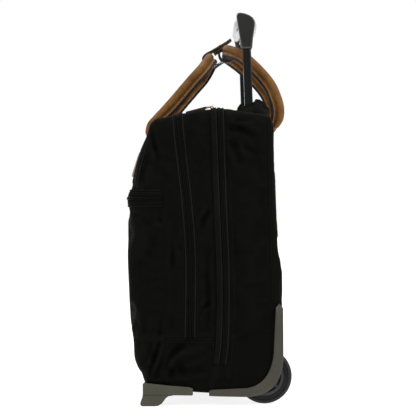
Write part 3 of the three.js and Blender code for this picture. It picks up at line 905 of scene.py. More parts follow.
# A side seam's name, body and line, and how far its stitches lie from it in x and z.
SIDE_SEAMS = (
    ("front_edge", "front_section", [(-79.5, 362), (-85, 346), (-90.5, 326), (-94.2, 306), (-96.4, 293)], (3.4, 0)),
    ("cross_seam", "main_section", [(-59, 90), (-30, 89.6), (8, 89.4)], (0, -3.4)),
    ("foot_seam", "main_section", [(7, 86), (8, 56), (-2, 24)], (3.4, 0)),
    ("back_edge", "rear_case", [(82, 388), (81.5, 348), (83, 300), (85, 223), (87, 162), (87, 142)], (3.4, 0)),
)


def side_seams(surface):
    for name, body, points, (dx, dz) in SIDE_SEAMS:
        for tag, side in SIDES:
            # The front edge cord gets the paler piping nylon, a painted highlight; the other seams keep the plain
            # nylon.
            cover = PIPING_PAINTED_HIGHLIGHT if name == "front_edge" else NYLON
            cord = lifted(side_path(surface, points, side), 0.1)
            tube_along(f"{tag}_{name}", cord, 0.95, body, cover, sides=6)
            row = lifted(side_path(surface, [(x + dx, z + dz) for x, z in points], side), 0.05)
            stitches(f"{tag}_{name}_stitches", row, body, THREAD, slot="nylon")


# ---------------- leather handles

HANDLE_Y = 80.0
BIGHT_Y = 42.0
FRONT_LEG = [(-87.2, 364.6), (-86.8, 375), (-82.0, 386), (-72.0, 395), (-54, 411.4), (-37.3, 430.5), (-20.6, 450),
             (-6.6, 466), (4.3, 483.6)]
BACK_LEG = [(95.2, 375.6), (97.2, 383.6), (99.4, 394), (100.0, 405), (98.0, 418.4), (89.7, 439.2), (77.3, 456.1),
            (59.5, 474.0), (45.8, 485.2), (27.2, 495.4)]
# The section across the handle: distances outward from the bag, and half thicknesses. The roll comes first.
ROLL_RADIUS = 6.2
ROLL_CENTRE = 3.0
FLANGE_END = -9.6
FLANGE_HALF = 2.1
FLANGE_SIDE = [(-2.5, -0.7), (-4.0, 0), (-6.6, 0.1), (-8.3, 0), (FLANGE_END, -0.8)]
STITCH_LINE = -5.4
# The faces round the flange's end, whose cut edges are painted.
EDGE_FACES = (17, 18, 19, 20, 21)


def handle_section(grow):
    """Points (outward, sideways) of rolled leather whose two edges are sewn into a flange, drawn in by grow."""
    roll = [(ROLL_CENTRE + ROLL_RADIUS * math.cos(t), ROLL_RADIUS * math.sin(t)) for t in np.linspace(-2.35, 2.35, 15)]
    side = [(a, FLANGE_HALF + s) for a, s in FLANGE_SIDE]
    section = roll + mirrored(side)
    return [(FLANGE_END + (a - FLANGE_END) * grow, s * min(1.0, 0.45 + 0.55 * grow)) for a, s in section]


def handle(name, leg_points, body, node, end_widths):
    """leg_points run up from the sewn end; the handle crosses over at the last one."""
    last = len(leg_points) - 1
    leg = [[x, HANDLE_Y if i < last else BIGHT_Y, z] for i, (x, z) in enumerate(leg_points)]
    leg[last - 1][1] = HANDLE_Y - 6
    crossing = (leg_points[last][0], 0, leg_points[last][1])
    controls = [*((x, -y, z) for x, y, z in leg), crossing, *leg[::-1]]
    centre = [at(*p) for p in spline(controls, 10)]
    inside = at(20, 0, 380)
    total = len(centre) - 1
    steps = [centre[min(i + 1, total)] - centre[max(i - 1, 0)] for i in range(total + 1)]
    flats = [Vector((step.x, 0, step.z)) for step in steps]
    upright = [i for i in range(3, total - 2) if flats[i].length >= 0.3 * steps[i].length]
    rings, rows = [], ([], [])
    for i, point in enumerate(centre):
        along = steps[i].normalized()
        flat = flats[i]
        if math.hypot(along.x, along.z) < 0.25:      # straight across the case: the nearest leg says which way is out
            flat = flats[min(upright, key=lambda k: abs(k - i))]
        out = Vector((flat.z, 0, -flat.x)).normalized()
        if out.dot(point - Vector((inside.x, point.y, inside.z))) < 0:
            out = -out
        out = (out - along * out.dot(along)).normalized()
        side = along.cross(out)
        grow = float(np.interp(min(i, total - i) / 10.0, range(len(end_widths)), end_widths))
        rings.append([point + (out * a + side * s) * MM for a, s in handle_section(grow)])
        drop = FLANGE_END + (STITCH_LINE - FLANGE_END) * grow
        for row, s in zip(rows, (1, -1)):
            row.append((point + (out * drop + side * s * (FLANGE_HALF + 0.1) * (0.45 + 0.55 * grow)) * MM, side * s))
    obj = sweep(name, rings, body, LEATHER, EDGE_PAINT, painted=EDGE_FACES, nodes=(node,))
    subdivide(obj, apply=False)
    for tag, row in zip("ab", rows):
        stitches(f"{name}_stitches_{tag}", row, body, TAN_THREAD, length=2.3, radius=0.6)


# ---------------- plastic corner guards and feet

GUARD_OUTER = [(1.6, 13.6), (25, 12.9), *bend((50, 12.4), (99.5, 12.4), (101.9, 66), 16), (101.7, 100), (101.4, 130),
               (101.0, 133)]
GUARD_INNER = [(1.2, 20.0), (3.5, 21.6), (8, 22.2), *bend((50, 24.2), (83, 27), (88.6, 70), 16), (90.3, 108),
               (91.5, 133)]
GUARD_STEPS = 64
GUARD_SIDE = 200.2
# Across the guard: share of the way from the inner to the outer edge, and how far it stands out sideways.
GUARD_CROWN = [(0.0, -1.2), (0.0, 1.0), (0.05, 2.2), (0.16, 2.75), (0.4, 3.2), (0.7, 3.7), (0.83, 3.9), (0.86, 4.25),
               (0.93, 4.4), (0.985, 3.6), (1.0, 2.2)]


def arc_line(points, count):
    """The polyline at count even steps along its length."""
    points = np.array(points, float)
    lengths = np.concatenate(([0], np.cumsum(np.linalg.norm(np.diff(points, axis=0), axis=1))))
    steps = np.linspace(0, lengths[-1], count)
    return np.stack([np.interp(steps, lengths, axis) for axis in points.T], axis=1)


def guard_reach(x, z):
    """How far in from the side the guard's outer lip runs: to a broad plate behind and under the case."""
    broad = np.interp(z, [84, 96], [0, 1]) if x > 60 else np.interp(x, [26, 34], [1, 0]) if x < 60 else 0.0
    return 192.0 - 40.0 * broad


def corner_guard(tag, side):
    """A moulded L along the rear corner, with a raised rib near its outer edge, that ends in a tip up the back."""
    rings = []
    for i, (o, n) in enumerate(zip(arc_line(GUARD_OUTER, GUARD_STEPS), arc_line(GUARD_INNER, GUARD_STEPS))):
        from_end = min(i, GUARD_STEPS - 1 - i)
        stand = 1.0 - 0.55 * max(0.0, 1 - from_end / 2.0)
        width = np.linalg.norm(o - n)
        thin = 1 - min(3.0 / width, 0.6)
        reach = guard_reach(*o)
        section = [(share, GUARD_SIDE + t * (stand if t > 0 else 1.0)) for share, t in GUARD_CROWN]
        section += [(1, reach + 1.5), (1 - 1.2 / width, reach), (thin, reach), (thin - 0.01, 197.5), (0.3, 199.0)]
        ring = [(n + (o - n) * share, y) for share, y in section]
        rings.append([at(p[0], side * y, p[1]) for p, y in ring])
    tip, last = at(96.0, 0, 138.4), rings[-1]
    for share in (0.45, 0.8, 0.97):
        rings.append([q.lerp(Vector((tip.x, q.y * (1 - share * 0.02), tip.z)), share) for q in last])
    sweep(f"{tag}_guard", rings, "rear_case", GUARD_OLIVE, angle=50, nodes=(f"{tag}_corner_guard",))
    spots = [(101.6, 168, z, (1, 0, 0)) for z in (92, 110, 128)] + [(14, 172, 13.2, (0, 0, -1))]
    for n, (x, y, z, out) in enumerate(spots):
        screw(f"{tag}_guard_screw_{n + 1}", at(x, side * y, z), Vector(out), "rear_case")


# A pan-head screw: share of its radius, height, and whether the cross recess cuts in there.
SCREW_PROFILE = [(0.0, 0.75, False), (0.5, 0.75, True), (0.52, 1.5, True), (0.8, 1.2, False), (1.0, 0.3, False),
                 (1.0, -0.6, False)]


def screw(name, centre, out, body, radius=3.0):
    side = out.orthogonal().normalized()
    up = out.cross(side)
    rings = []
    for share, height, recessed in SCREW_PROFILE:
        ring = []
        for a, b in circle(24):
            cross = 0.45 + 0.75 * abs(a * a - b * b) ** 3 if recessed else 1.0
            reach = max(share * radius * cross, 0.02)
            ring.append(centre + ((side * a + up * b) * reach + out * height) * MM)
        rings.append(ring)
    sweep(name, rings, body, STEEL)


FOOT_BRACKET = [(-88.0, 15.2), (-21.2, 14.6), (-20.3, 15.6), (-20.1, 22.6), (-21.4, 24.6), (-26, 25.8), (-58, 28.4),
                (-86.2, 31.6), (-88.0, 30.4)]
FOOT_BLOCK = [(-20.6, 14.8), (-20.8, 21.0), (-86.4, 29.6), (-87.6, 28.0), (-87.8, 15.0)]
FOOT_SOLE = [(-88.2, 14.9), (-89.0, 10.5), (-91.2, 5.2), (-91.4, 2.4), (-89.8, 0.3), (-87.5, 0.0), (-72, 0.0),
             (-67, 0.8), (-62.4, 3.6), (-59.4, 7.4), (-56.6, 11.4), (-53.2, 13.6), (-48, 14.3), (-47.6, 14.9)]


def front_foot(tag, side, body="main_section"):
    """A bracket on the side, a block under the base, and a sole that reaches the ground."""
    def part(name, outline, near, far, material, *edge, **told):
        prism(f"{tag}_foot_{name}", outline, (side * near, side * far), body, material, *edge, **told)

    part("bracket", FOOT_BRACKET, 200.3, 204.4, OLIVE, 1.3, 4, nodes=(f"{tag}_front_foot",))
    part("block", FOOT_BLOCK, 152, 201.5, OLIVE, 1.6)
    part("sole", FOOT_SOLE, 153, 203.9, OLIVE, 1.1, 4)
    for n in range(4):
        x = -88 + 5.6 * n
        part(f"tread_{n + 1}", box(x, 0, x + 3.2, 1.4), 156, 201, TYRE, 0.3, 1)
    for n, (x, z) in enumerate(((-74, 0.9), (-38, 14.6))):
        screw(f"{tag}_foot_screw_{n + 1}", at(x, side * 176, z), Vector((0, 0, -1)), body, 2.6)


# ---------------- wheels

TYRE_PROFILE = mirrored([(27.0, -10.6), (28.6, -11.4), (30.4, -11.6), (31.0, -10.4), (32.2, -10.4), (32.8, -11.7),
                         (34.8, -11.4), (36.4, -10.0), (37.4, -7.4), (37.7, -3.4), (36.9, -2.4)])
HUB_PROFILE = mirrored([(4.2, -12.4), (8.6, -12.4), (9.4, -11.6), (9.8, -5.0), (21.0, -4.2), (22.0, -8.6), (23.0, -9.6),
                        (26.9, -9.8)])
# Along a spoke: radius, half width and half depth.
SPOKE = ((9.0, 2.4, 9.6), (13, 1.7, 8.6), (18, 1.7, 8.2), (22.4, 2.6, 8.8))
WHEEL_Y = 166.5


def lathe(name, profile, y_centre, body, material, node):
    """A closed profile of (radius, along) turned about the wheel's axle."""
    rings = [[at(WHEEL_X + r * a, y_centre + y, WHEEL_Z + r * b) for r, y in profile] for a, b in circle(96)]
    sweep(name, rings, body, material, closed=True, angle=42, nodes=(node,))


def wheel(tag, side):
    body = f"{tag}_wheel"
    lathe(f"{tag}_tread", TYRE_PROFILE, side * WHEEL_Y, body, TYRE, f"{tag}_tyre")
    lathe(f"{tag}_rim", HUB_PROFILE, side * WHEEL_Y, body, HUB, f"{tag}_hub")
    centre = at(WHEEL_X, side * WHEEL_Y, WHEEL_Z)
    for n in range(6):
        t = math.pi * n / 3 + 0.35
        across, along = Vector((-math.sin(t), 0, math.cos(t))), Vector((math.cos(t), 0, math.sin(t)))
        rings = []
        for r, half, deep in SPOKE:
            ring = mirrored([(half, 1 - deep), (half - 0.8, -deep), (0.8 - half, -deep), (-half, 1 - deep)])
            rings.append([centre + (along * r + across * a + Vector((0, b, 0))) * MM for a, b in ring])
        sweep(f"{tag}_spoke_{n + 1}", rings, body, HUB, angle=35)


# ---------------- the trolley

TROLLEY = (56.8, 422.0)
LEAN = math.radians(-2)
TUBE_Y = 115.5


def on_trolley(u, y, w):
    """A point in the trolley's own frame: u across, w up along the tubes."""
    c, s = math.cos(LEAN), math.sin(LEAN)
    return at(TROLLEY[0] + u * c + w * s, y, TROLLEY[1] - u * s + w * c)


def leaning(name, outline, ends, body, material, edge, **told):
    """An outline in the trolley's frame, carried along Y between the two ends."""
    lower, upper = ([on_trolley(u, y, w) for u, w in outline] for y in sorted(ends))
    return solid(name, lower, upper, body, material, edge, 4, **told)


def rounded_rectangle(half_a, half_b, radius, steps=6):
    return [(sa * (half_a - radius) + radius * math.cos(t), sb * (half_b - radius) + radius * math.sin(t))
            for quarter, (sa, sb) in enumerate(((1, 1), (-1, 1), (-1, -1), (1, -1)))
            for t in (math.pi / 2 * (quarter + k / steps) for k in range(steps + 1))]


def fluted(half_u, half_y, radius):
    """A rounded rectangle with a shallow channel along each broad face."""
    points = rounded_rectangle(half_u, half_y, radius)
    quarter = len(points) // 4
    channel = [(1.5, half_y), (0.9, half_y - 0.7), (-0.9, half_y - 0.7), (-1.5, half_y)]
    return [*points[:quarter], *channel, *points[quarter:3 * quarter], *((-u, -y) for u, y in channel),
            *points[3 * quarter:]]


def tube(name, side, half_u, half_y, radius, low, high, body, node, wall=1.1):
    """A rounded rectangular tube with an open, rolled top."""
    outer, middle, inner = (fluted(half_u - d, half_y - d, radius - 0.7 * d) for d in (0.0, wall / 2, wall))
    levels = [(inner, low), (outer, low), (outer, low + 2)]
    levels += [(outer, w) for w in np.linspace(low + 20, high - 20, 6)]
    levels += [(outer, high - 0.6), (middle, high), (inner, high - 0.6), (inner, low + 0.5)]
    rings = [[on_trolley(u, side * TUBE_Y + y, w) for u, y in section] for section, w in levels]
    sweep(name, rings, body, TUBE, closed=True, angle=50, nodes=(node,))


GRIP_LEG = [(-7.4, 68), (7.4, 68), (9.3, 84), (11.7, 97), (12.6, 103), (12.2, 107.4), (9.8, 111.6), (5.0, 115.2),
            (-1, 117.9), (-7.5, 119.2), (-11, 118.8), (-12.9, 116.6), (-13.0, 112), (-11.4, 98), (-9.2, 82)]
GRIP_LEG_FACE = [(-5.6, 71.0), (5.6, 71.0), (7.5, 85), (10.1, 97), (10.9, 103), (10.6, 106.6), (8.6, 110.2),
                 (4.3, 113.5), (-1.3, 116.1), (-7.4, 117.4), (-10.1, 117.0), (-11.3, 115.4), (-11.2, 112),
                 (-9.6, 98), (-7.4, 82)]
GRIP_REACH = 108.0


def trolley_grip(body="trolley_inner_stage", button="trolley_release"):
    rings = []
    for y in np.linspace(-GRIP_REACH, GRIP_REACH, 49):
        t = abs(y) / GRIP_REACH
        half_u, half_w = 16.8 * (1 - 0.38 * t ** 4), 11.4 * (1 - 0.30 * t ** 4)
        mid_u, mid_w = 1.3 * (1 - t), 107.6 + 1.2 * (1 - t * t)
        ring = []
        for c, s in circle(36):
            fingers = 0.5 * math.cos(y / 11.0) * max(0.0, -c) * (1 - t ** 4)
            u = mid_u + (half_u + fingers) * math.copysign(abs(c) ** 0.85, c)
            ring.append(on_trolley(u, y, mid_w + half_w * math.copysign(abs(s) ** 0.85, s) * (0.94 if s > 0 else 1.0)))
        rings.append(ring)
    bar = sweep("grip_bar", rings, None, GRIP)
    cut(bar, leaning("grip_pocket", box(-5.0, 102, 8.0, 126), (-24.0, 24.0), None, GRIP, 0))
    smooth_angle(bar, 40)
    declare(bar, body, ("trolley_grip",))
    for tag, side in SIDES:
        leaning(f"{tag}_grip_leg", GRIP_LEG, (side * 104.5, side * 126.2), body, GRIP, 1.8)
        leaning(f"{tag}_grip_face", GRIP_LEG_FACE, (side * 126.0, side * 126.9), body, GRIP_SOFT, 0.4)
    leaning("grip_button", box(-4.2, 106.9, 7.2, 119.2), (-22.6, 22.6), button, BLACK_PLASTIC, 1.6,
            nodes=("release_button",))
    for n in range(5):
        y = -12 + 6 * n
        leaning(f"grip_button_ridge_{n + 1}", box(-2.4, 118.6, 5.4, 119.8), (y - 0.8, y + 0.8), button,
                BLACK_PLASTIC, 0.3)


def trolley_tubes():
    inner, mid = "trolley_inner_stage", "trolley_mid_stage"
    for tag, side in SIDES:
        tube(f"{tag}_inner_stage", side, 5.8, 8.5, 3.4, -355, 86, inner, f"{tag}_inner_tube")
        tube(f"{tag}_mid_stage", side, 7.3, 10.0, 3.9, -362, -19, mid, f"{tag}_mid_tube", 0.9)
        screw(f"{tag}_grip_screw", on_trolley(-9.0, side * TUBE_Y, 76), Vector((-1, 0, 0)), inner, 2.4)


SHROUD = [(41.8, 397), (41.2, 402), (41.6, 407), (43.6, 411.4), (47.0, 413.0), (50.5, 411.0), (53.5, 412.4),
          (57, 414.5), (61, 414.5), (64, 418.4), (67.5, 420.8), (71, 419.6), (74.5, 416.0), (79, 412.0),
          (83.5, 408.0), (86.6, 403.0), (87.6, 397.0), (88.2, 391.0), (84, 388.5), (64, 391.5), (46, 394)]
SHROUD_CENTRE = np.array((64.0, 396.0))
SHROUD_HALF = 158.0


def shroud():
    """Gathered cloth round the tubes: a hump whose folds run over it from front to back."""
    outline = spline([*SHROUD, SHROUD[0]], 3)[:-1]
    rings = []
    for y in np.arange(-SHROUD_HALF, SHROUD_HALF + 0.1, 2.6):
        full = max(0.0, 1 - (abs(y) / SHROUD_HALF) ** 6) ** 0.5
        near_tube = math.exp(-((abs(y) - TUBE_Y) / 20.0) ** 2)
        height = (0.80 + 0.30 * near_tube) * full
        ring = []
        for x, z in outline:
            qx, qz = np.array((x, z)) - SHROUD_CENTRE
            lift = max(0.0, min(1.0, (z - 394) / 14))
            fold = math.sin(y / 2.5 + 2.4 * noise.noise(Vector((y * 0.05, x * 0.06, 3.0)))) * 1.1
            lump = (noise.noise(Vector((x * 0.11, y * 0.055, z * 0.10))) * 4.6
                    + noise.noise(Vector((x * 0.2, y * 0.14, z * 0.2))) * 1.6)
            grow = 1 + lift * (fold * (0.5 + 0.9 * near_tube) + lump) / 26.0
            ring.append(at(SHROUD_CENTRE[0] + qx * grow * (0.25 + 0.75 * full), y,
                           SHROUD_CENTRE[1] + qz * grow * (1.0 if qz < 0 else height)))
        rings.append(ring)
    made = sweep("gathered_shroud", rings, None, NYLON)
    for _, side in SIDES:
        section = rounded_rectangle(8.2, 10.9, 4.4)
        opening = [[on_trolley(u, side * TUBE_Y + y, w) for u, y in section] for w in (-60, 20)]
        cut(made, sweep("shroud_opening", opening, None, NYLON))
    subdivide(made)
    made.data.shade_smooth()
    declare(made, "rear_case", ("trolley_shroud",))


# ---------------- back sleeve and the handles' sewn ends

SLEEVE_OUTER = [(130, 94.6), (134, 97.0), (162, 97.6), (176, 98.6), (223, 96.3), (300, 92.4), (318, 90.6)]
SLEEVE_HALF = 149.0
SLEEVE_Z = (130.0, 319.0)
SLEEVE_ZIPS = (306.5, 172.0)
SLEEVE_CORNER = 16.0
SLEEVE_EDGE = 7.0
SLEEVE_SUNK = 2.2
SLIDER_Y = -54
BACKWARD = Vector((1, 0, 0))


def sleeve_x(y, z):
    """The sleeve's outer face: a flat pad that falls to the case at its sewn edge, with rounded corners."""
    back = panel_x(BACK_LINE, z)
    full = float(np.interp(z, *zip(*SLEEVE_OUTER)))
    dy, dz = SLEEVE_HALF - abs(y), min(z - SLEEVE_Z[0], SLEEVE_Z[1] - z)
    inside = min(dy, dz)
    if max(dy, dz) < SLEEVE_CORNER:
        inside = SLEEVE_CORNER - math.hypot(SLEEVE_CORNER - dy, SLEEVE_CORNER - dz)
    edge = max(0.0, min(1.0, inside / SLEEVE_EDGE))
    channel = sum(math.exp(-((z - zip_z) / 7.0) ** 2) for zip_z in SLEEVE_ZIPS)
    ripple = noise.noise(Vector((y * 0.03, z * 0.02, 9.0))) * 0.8 * (1 - channel)
    return back + (full - back + ripple * edge) * edge ** 0.5 - 0.5 * channel * edge - (1.4 if inside <= 0 else 0.0)


def on_sleeve(y, z, lift, dz=0.0):
    """A point lift above the sleeve, and dz further up, with the way out from the case."""
    return at(sleeve_x(y, z) + lift, y, z + dz), BACKWARD


def ring_of(points):
    """A closed path."""
    return [*points, points[0]]


def back_sleeve(body="rear_case"):
    columns = np.linspace(-SLEEVE_HALF, SLEEVE_HALF, 81)
    rings = []
    for z in np.linspace(*SLEEVE_Z, 64):
        under = panel_x(BACK_LINE, z) - SLEEVE_SUNK
        rings.append([at(sleeve_x(y, z), y, z) for y in columns] + [at(under, y, z) for y in columns[::-1]])
    sweep("sleeve_pad", rings, body, NYLON, nodes=("back_sleeve",))
    middle, half_z = sum(SLEEVE_Z) / 2, (SLEEVE_Z[1] - SLEEVE_Z[0]) / 2
    border = ring_of([(y, middle + dz) for y, dz in rounded_rectangle(SLEEVE_HALF - 1.2, half_z - 1.2, 15, 8)])
    edge = [(at(panel_x(BACK_LINE, z) + 0.9, y, z), BACKWARD) for y, z in border]
    tube_along("sleeve_piping", resample(edge, 3 * MM), 1.5, body, NYLON_RIB)
    row = [on_sleeve(y * 0.973, middle + (z - middle) * 0.965, 0.1) for y, z in border]
    stitches("sleeve_stitches", row, body, THREAD, slot="nylon")
    span = np.linspace(-SLEEVE_HALF + 9, SLEEVE_HALF - 9, 60)
    for n, z in enumerate(SLEEVE_ZIPS):
        for tag, low, high in (("upper", 1.0, 6.0), ("lower", -6.0, -1.0)):
            rails = [[on_sleeve(y, z + dz, 0.1) for y in span] for dz in (low, high)]
            strip(f"sleeve_tape_{n + 1}_{tag}", rails, body, TAPE, 0.7)
            line = [on_sleeve(y, z + high, 0.9, (high + low) * 0.6 - high) for y in span]
            stitches(f"sleeve_zip_stitches_{n + 1}_{tag}", line, body, THREAD)
        for tag, dz in (("a", -0.9), ("b", 0.9)):
            coil_along(f"sleeve_coil_{n + 1}_{tag}", [on_sleeve(y, z, 1.0, dz) for y in span], 1.05, body)
    for name, z in zip(("top", "base"), SLEEVE_ZIPS):
        body, node, x = f"sleeve_{name}_zip", f"sleeve_{name}_slider", sleeve_x(SLIDER_Y, z)
        slider(f"sleeve_{name}_brass", Place(at(x + 1.6, SLIDER_Y, z), (0, -1, 0), (1, 0, 0)), body, node)
        pull(f"sleeve_{name}_tab", Place(at(x + 4.4, SLIDER_Y, z - 1.5), (0.02, 0, -1), (1, 0, 0)), 21.0, body, (),
             7.0, 1.6)


def handle_tabs():
    """Where each handle leg is sewn to its panel: a leather foot with a boxed cross of stitches."""
    thread = {"pitch": 2.9, "length": 2.0, "radius": 0.35}
    for name, line, top, bottom, body, sign in (("front", FRONT_LINE, 373.0, 340.0, "front_section", -1),
                                                ("back", BACK_LINE, 381.0, 345.0, "rear_case", 1)):
        high, low = at(panel_x(line, top), 0, top), at(panel_x(line, bottom), 0, bottom)
        run = low - high
        half = run.length / MM / 2
        for tag, side in SIDES:
            tab, middle = f"{name}_{tag}_tab", (high + low) / 2 + Vector((0, side * HANDLE_Y * MM, 0))
            place = Place(middle, run, (-sign * run.z, 0, sign * run.x))
            slab(tab, place, rounded_rectangle(half, 11.5, 4.5), -2.5, 2.6, body, LEATHER, 0.9)
            box_line = place.path(ring_of(rounded_rectangle(half - 3, 8.5, 1.5, 2)), 2.6)
            stitches(f"{tab}_stitches", box_line, body, TAN_THREAD, **thread)
            for n, slope in enumerate((-1, 1)):
                cross = place.path([(-half + 4, -7.5 * slope), (half - 4, 7.5 * slope)], 2.6)
                stitches(f"{tab}_cross_{n + 1}", cross, body, TAN_THREAD, **thread)


# ---------------- sliders, pulls, keeper, patch

class Place:
    """A small part's own axes: a along it, b across it, c outward."""

    def __init__(self, origin, along, outward):
        self.origin = origin
        self.c = Vector(outward).normalized()
        self.a = (Vector(along) - self.c * Vector(along).dot(self.c)).normalized()
        self.b = self.c.cross(self.a)

    def point(self, a, b, c):
        return self.origin + (self.a * a + self.b * b + self.c * c) * MM

    def path(self, points, c):
        return [(self.point(a, b, c), self.c) for a, b in points]


def slab(name, place, outline, low, high, body, material, edge, **told):
    """An outline in a part's own a-b plane, from c=low to c=high, with rounded edges."""
    lower, upper = ([place.point(a, b, c) for a, b in outline] for c in (low, high))
    solid(name, lower, upper, body, material, edge, angle=45, **told)


def wire(name, points, radius, body, material, closed=False):
    skew = Vector((0.13, 0.21, 0.97)).normalized()
    tube_along(name, [(p, skew) for p in points], radius, body, material, sides=10, closed=closed)


SLIDER_TOP = [(-5.8, -2.6), (-5.8, 2.6), (-1.5, 3.6), (3.2, 4.2), (5.6, 4.4), (6.0, 2.6), (4.4, 0.9), (4.0, 0.0),
              (4.4, -0.9), (6.0, -2.6), (5.6, -4.4), (3.2, -4.2), (-1.5, -3.6)]
SLIDER_NECK = [(-5.0, -1.2), (-5.0, 1.2), (-1.5, 1.5), (-1.5, -1.5)]


def slider(name, place, body, node, stand=4.2):
    """A die-cast slider: two plates, a neck and the bridge that the pull hangs from."""
    slab(f"{name}_plate", place, SLIDER_TOP, 1.0, 2.4, body, BRASS, 0.5, nodes=(node,))
    slab(f"{name}_underplate", place, [(a * 0.94, b * 0.92) for a, b in SLIDER_TOP], -1.6, -0.4, body, BRASS, 0.4)
    slab(f"{name}_neck", place, SLIDER_NECK, -0.8, 1.6, body, BRASS, 0.3)
    arch = [place.point(-4.6 + 8.2 * t, 0, 2.2 + (stand - 2.2) * math.sin(math.pi * t) ** 0.6)
            for t in np.linspace(0, 1, 13)]
    wire(f"{name}_bridge", arch, 0.95, body, BRASS)


def pull(name, place, length, body, nodes, width=7.6, thick=1.9, wire_radius=0.75):
    """A leather pull on a brass loop; a runs from the slider to the free end."""
    loop = [place.point(3.3 + 3.0 * a, 2.7 * b, 0) for a, b in circle(20)]
    wire(f"{name}_ring", loop, wire_radius, body, BRASS, closed=True)
    half = width / 2
    outline = mirrored([(5.4, -half * 0.55), (7.2, -half * 0.9), (length - 4, -half), (length - 1.2, -half * 0.8),
                        (length, -half * 0.3)])
    slab(f"{name}_tab", place, outline, -thick / 2, thick / 2, body, DARK_LEATHER, 0.5, nodes=nodes)
    rivet = [(9.2 + a, b) for a, b in circle(16, 1.5)]
    slab(f"{name}_rivet", place, rivet, -thick / 2 - 0.5, thick / 2 + 0.5, body, BRASS, 0.35)
    run = [(a, 1.5 - half) for a in np.linspace(11.5, length - 2.6, 10)]
    for tag, c in (("a", 1), ("b", -1)):
        path = [(place.point(a, b, c * thick / 2), place.c * c) for a, b in mirrored(run)]
        stitches(f"{name}_stitches_{tag}", path, body, THREAD, 1.9, 1.3, 0.18, 0.05, slot="dark_leather")


def zip_hardware():
    """The sliders and pulls of the two body zips and the pocket zip."""
    slider("main_slider_brass", Place(at(12.2, -60, 403.4), (0, 1, 0), (0, 0, 1)), "main_zip_slider",
           "main_slider", 6.0)
    bail = [(8.6, 405.2), (5.2, 409.4), (3.6, 412.6), (5.6, 414.4), (8.2, 411.6), (9.8, 406.4)]
    wire("main_slider_bail", [at(x, -60, z) for x, z in bail], 1.15, "main_zip_slider", BRASS)
    pull("main_zip_tab", Place(at(3.4, -60, 413.4), (-35.5, 0, -9.2), (-0.25, 0, 0.97)), 36.5, "main_zip_pull",
         ("main_pull",), 8.4, 3.2, 1.15)
    slider("front_slider_brass", Place(at(-41.4, 130, 397.4), (0, 1, 0), (-0.05, 0, 1)), "front_zip_slider",
           "front_slider")
    pull("front_zip_tab", Place(at(-41.4, 137.6, 400.0), (0, 1, -0.03), (0, 0, 1)), 20.5, "front_zip_pull",
         ("front_pull",))
    slider("pocket_slider_brass", Place(at(-113.2, 66, 280), (0, -1, 0), (-1, 0, 0)), "pocket_zip_slider",
           "pocket_slider")
    pull("pocket_zip_tab", Place(at(-116.2, 66, 276.2), (0.06, 0, -1), (-1, 0, 0)), 28.0, "pocket_zip_pull",
         ("pocket_pull",))


# A snap cap with a rolled rim and a domed middle: share of its radius, and height.
STUD_PROFILE = [(0.05, 1.9), (0.35, 1.85), (0.62, 1.5), (0.74, 1.15), (0.82, 1.35), (0.93, 1.3), (1.0, 0.8), (1.0, 0.1),
                (0.9, -0.2)]
STRAP_HALF = 10.5


def strap(name, controls, thick, body, material=DARK_LEATHER, half=STRAP_HALF, steps=6, **told):
    """A flat strap along a curve through X-Z points, half to each side of the middle, with rounded edges."""
    points = spline(controls, steps)
    h = thick / 2
    section = [(-h * 0.4, -half), (h * 0.4, -half), (h, 0.6 - half), (h, half - 0.6), (h * 0.4, half), (-h * 0.4, half),
               (-h, half - 0.6), (-h, 0.6 - half)]
    rings = []
    for i, p in enumerate(points):
        along = points[min(i + 1, len(points) - 1)] - points[max(i - 1, 0)]
        out = np.array((-along[1], along[0])) / np.linalg.norm(along)
        rings.append([at((p + out * c)[0], b, (p + out * c)[1]) for c, b in section])
    sweep(name, rings, body, material, angle=50, **told)


def keeper():
    """The strap that joins the two handles: a flap over both, snapped on a loop round the back one."""
    strap("keeper_root", [(-6.4, 482.0), (-7.3, 486.3), (-6.2, 490.2), (-4.2, 492.4)], 3.4, "front_carry")
    flap = [(-4.8, 491.8), (-1.2, 494.6), (4.4, 497.4), (11, 501.2), (19, 506.0), (27, 510.8), (33.8, 515.8)]
    strap("keeper_strap", flap, 3.6, "keeper", nodes=("keeper_flap",))
    lean = math.atan2(4.6, 8.0)
    cap = Place(at(18.6, 0, 507.4), (math.cos(lean), 0, math.sin(lean)), (-math.sin(lean), 0, math.cos(lean)))
    rings = [[cap.point(a, b, c) for a, b in circle(32, share * 4.8)] for share, c in STUD_PROFILE]
    sweep("keeper_snap", rings, "keeper", BRASS, nodes=("keeper_stud",))
    slab("keeper_snap_post", cap, circle(20, 3.4), -6.4, -1.2, "keeper", BRASS, 0.4)
    for n, y in enumerate((-8.6, 8.6)):
        line = [(at(x, y, z + 1.55), Vector((-0.4, 0, 0.9))) for x, z in spline(flap, 6)[4:-3]]
        stitches(f"keeper_stitches_{n + 1}", line, "keeper", TAN_THREAD, 2.2, 1.5, 0.22, slot="dark_leather")
    body = "back_carry"
    strap("keeper_socket_strap", [(9.5, 494.6), (14, 497.8), (20.5, 500.8), (27, 502.8), (33.5, 502.0)], 4.0, body)
    loop = [(20.0, 501.4), (16.6, 497.2), (16.8, 491.5), (19.4, 486.6), (24.6, 483.6), (31.0, 484.0), (38.8, 488.0),
            (41.9, 494.0), (39.4, 501.0), (32.5, 504.6), (26.0, 504.2), (20.6, 501.8)]
    strap("keeper_loop", loop, 3.0, body, steps=5, nodes=("keeper_base",))
    strap("keeper_link", [(28.4, 485.4), (22.0, 482.8), (16.0, 478.8), (10.4, 474.6)], 3.2, body, EDGE_PAINT, 5.5)
    lift, run = Vector((0.85, 0, 0.53)) * 9.2, Vector((0, 1, 0)) * 7.0
    oval = [at(18.2, 0, 481.2) + (lift * a + run * b) * MM for a, b in circle(32)]
    wire("keeper_ring", oval, 1.4, body, STEEL, closed=True)


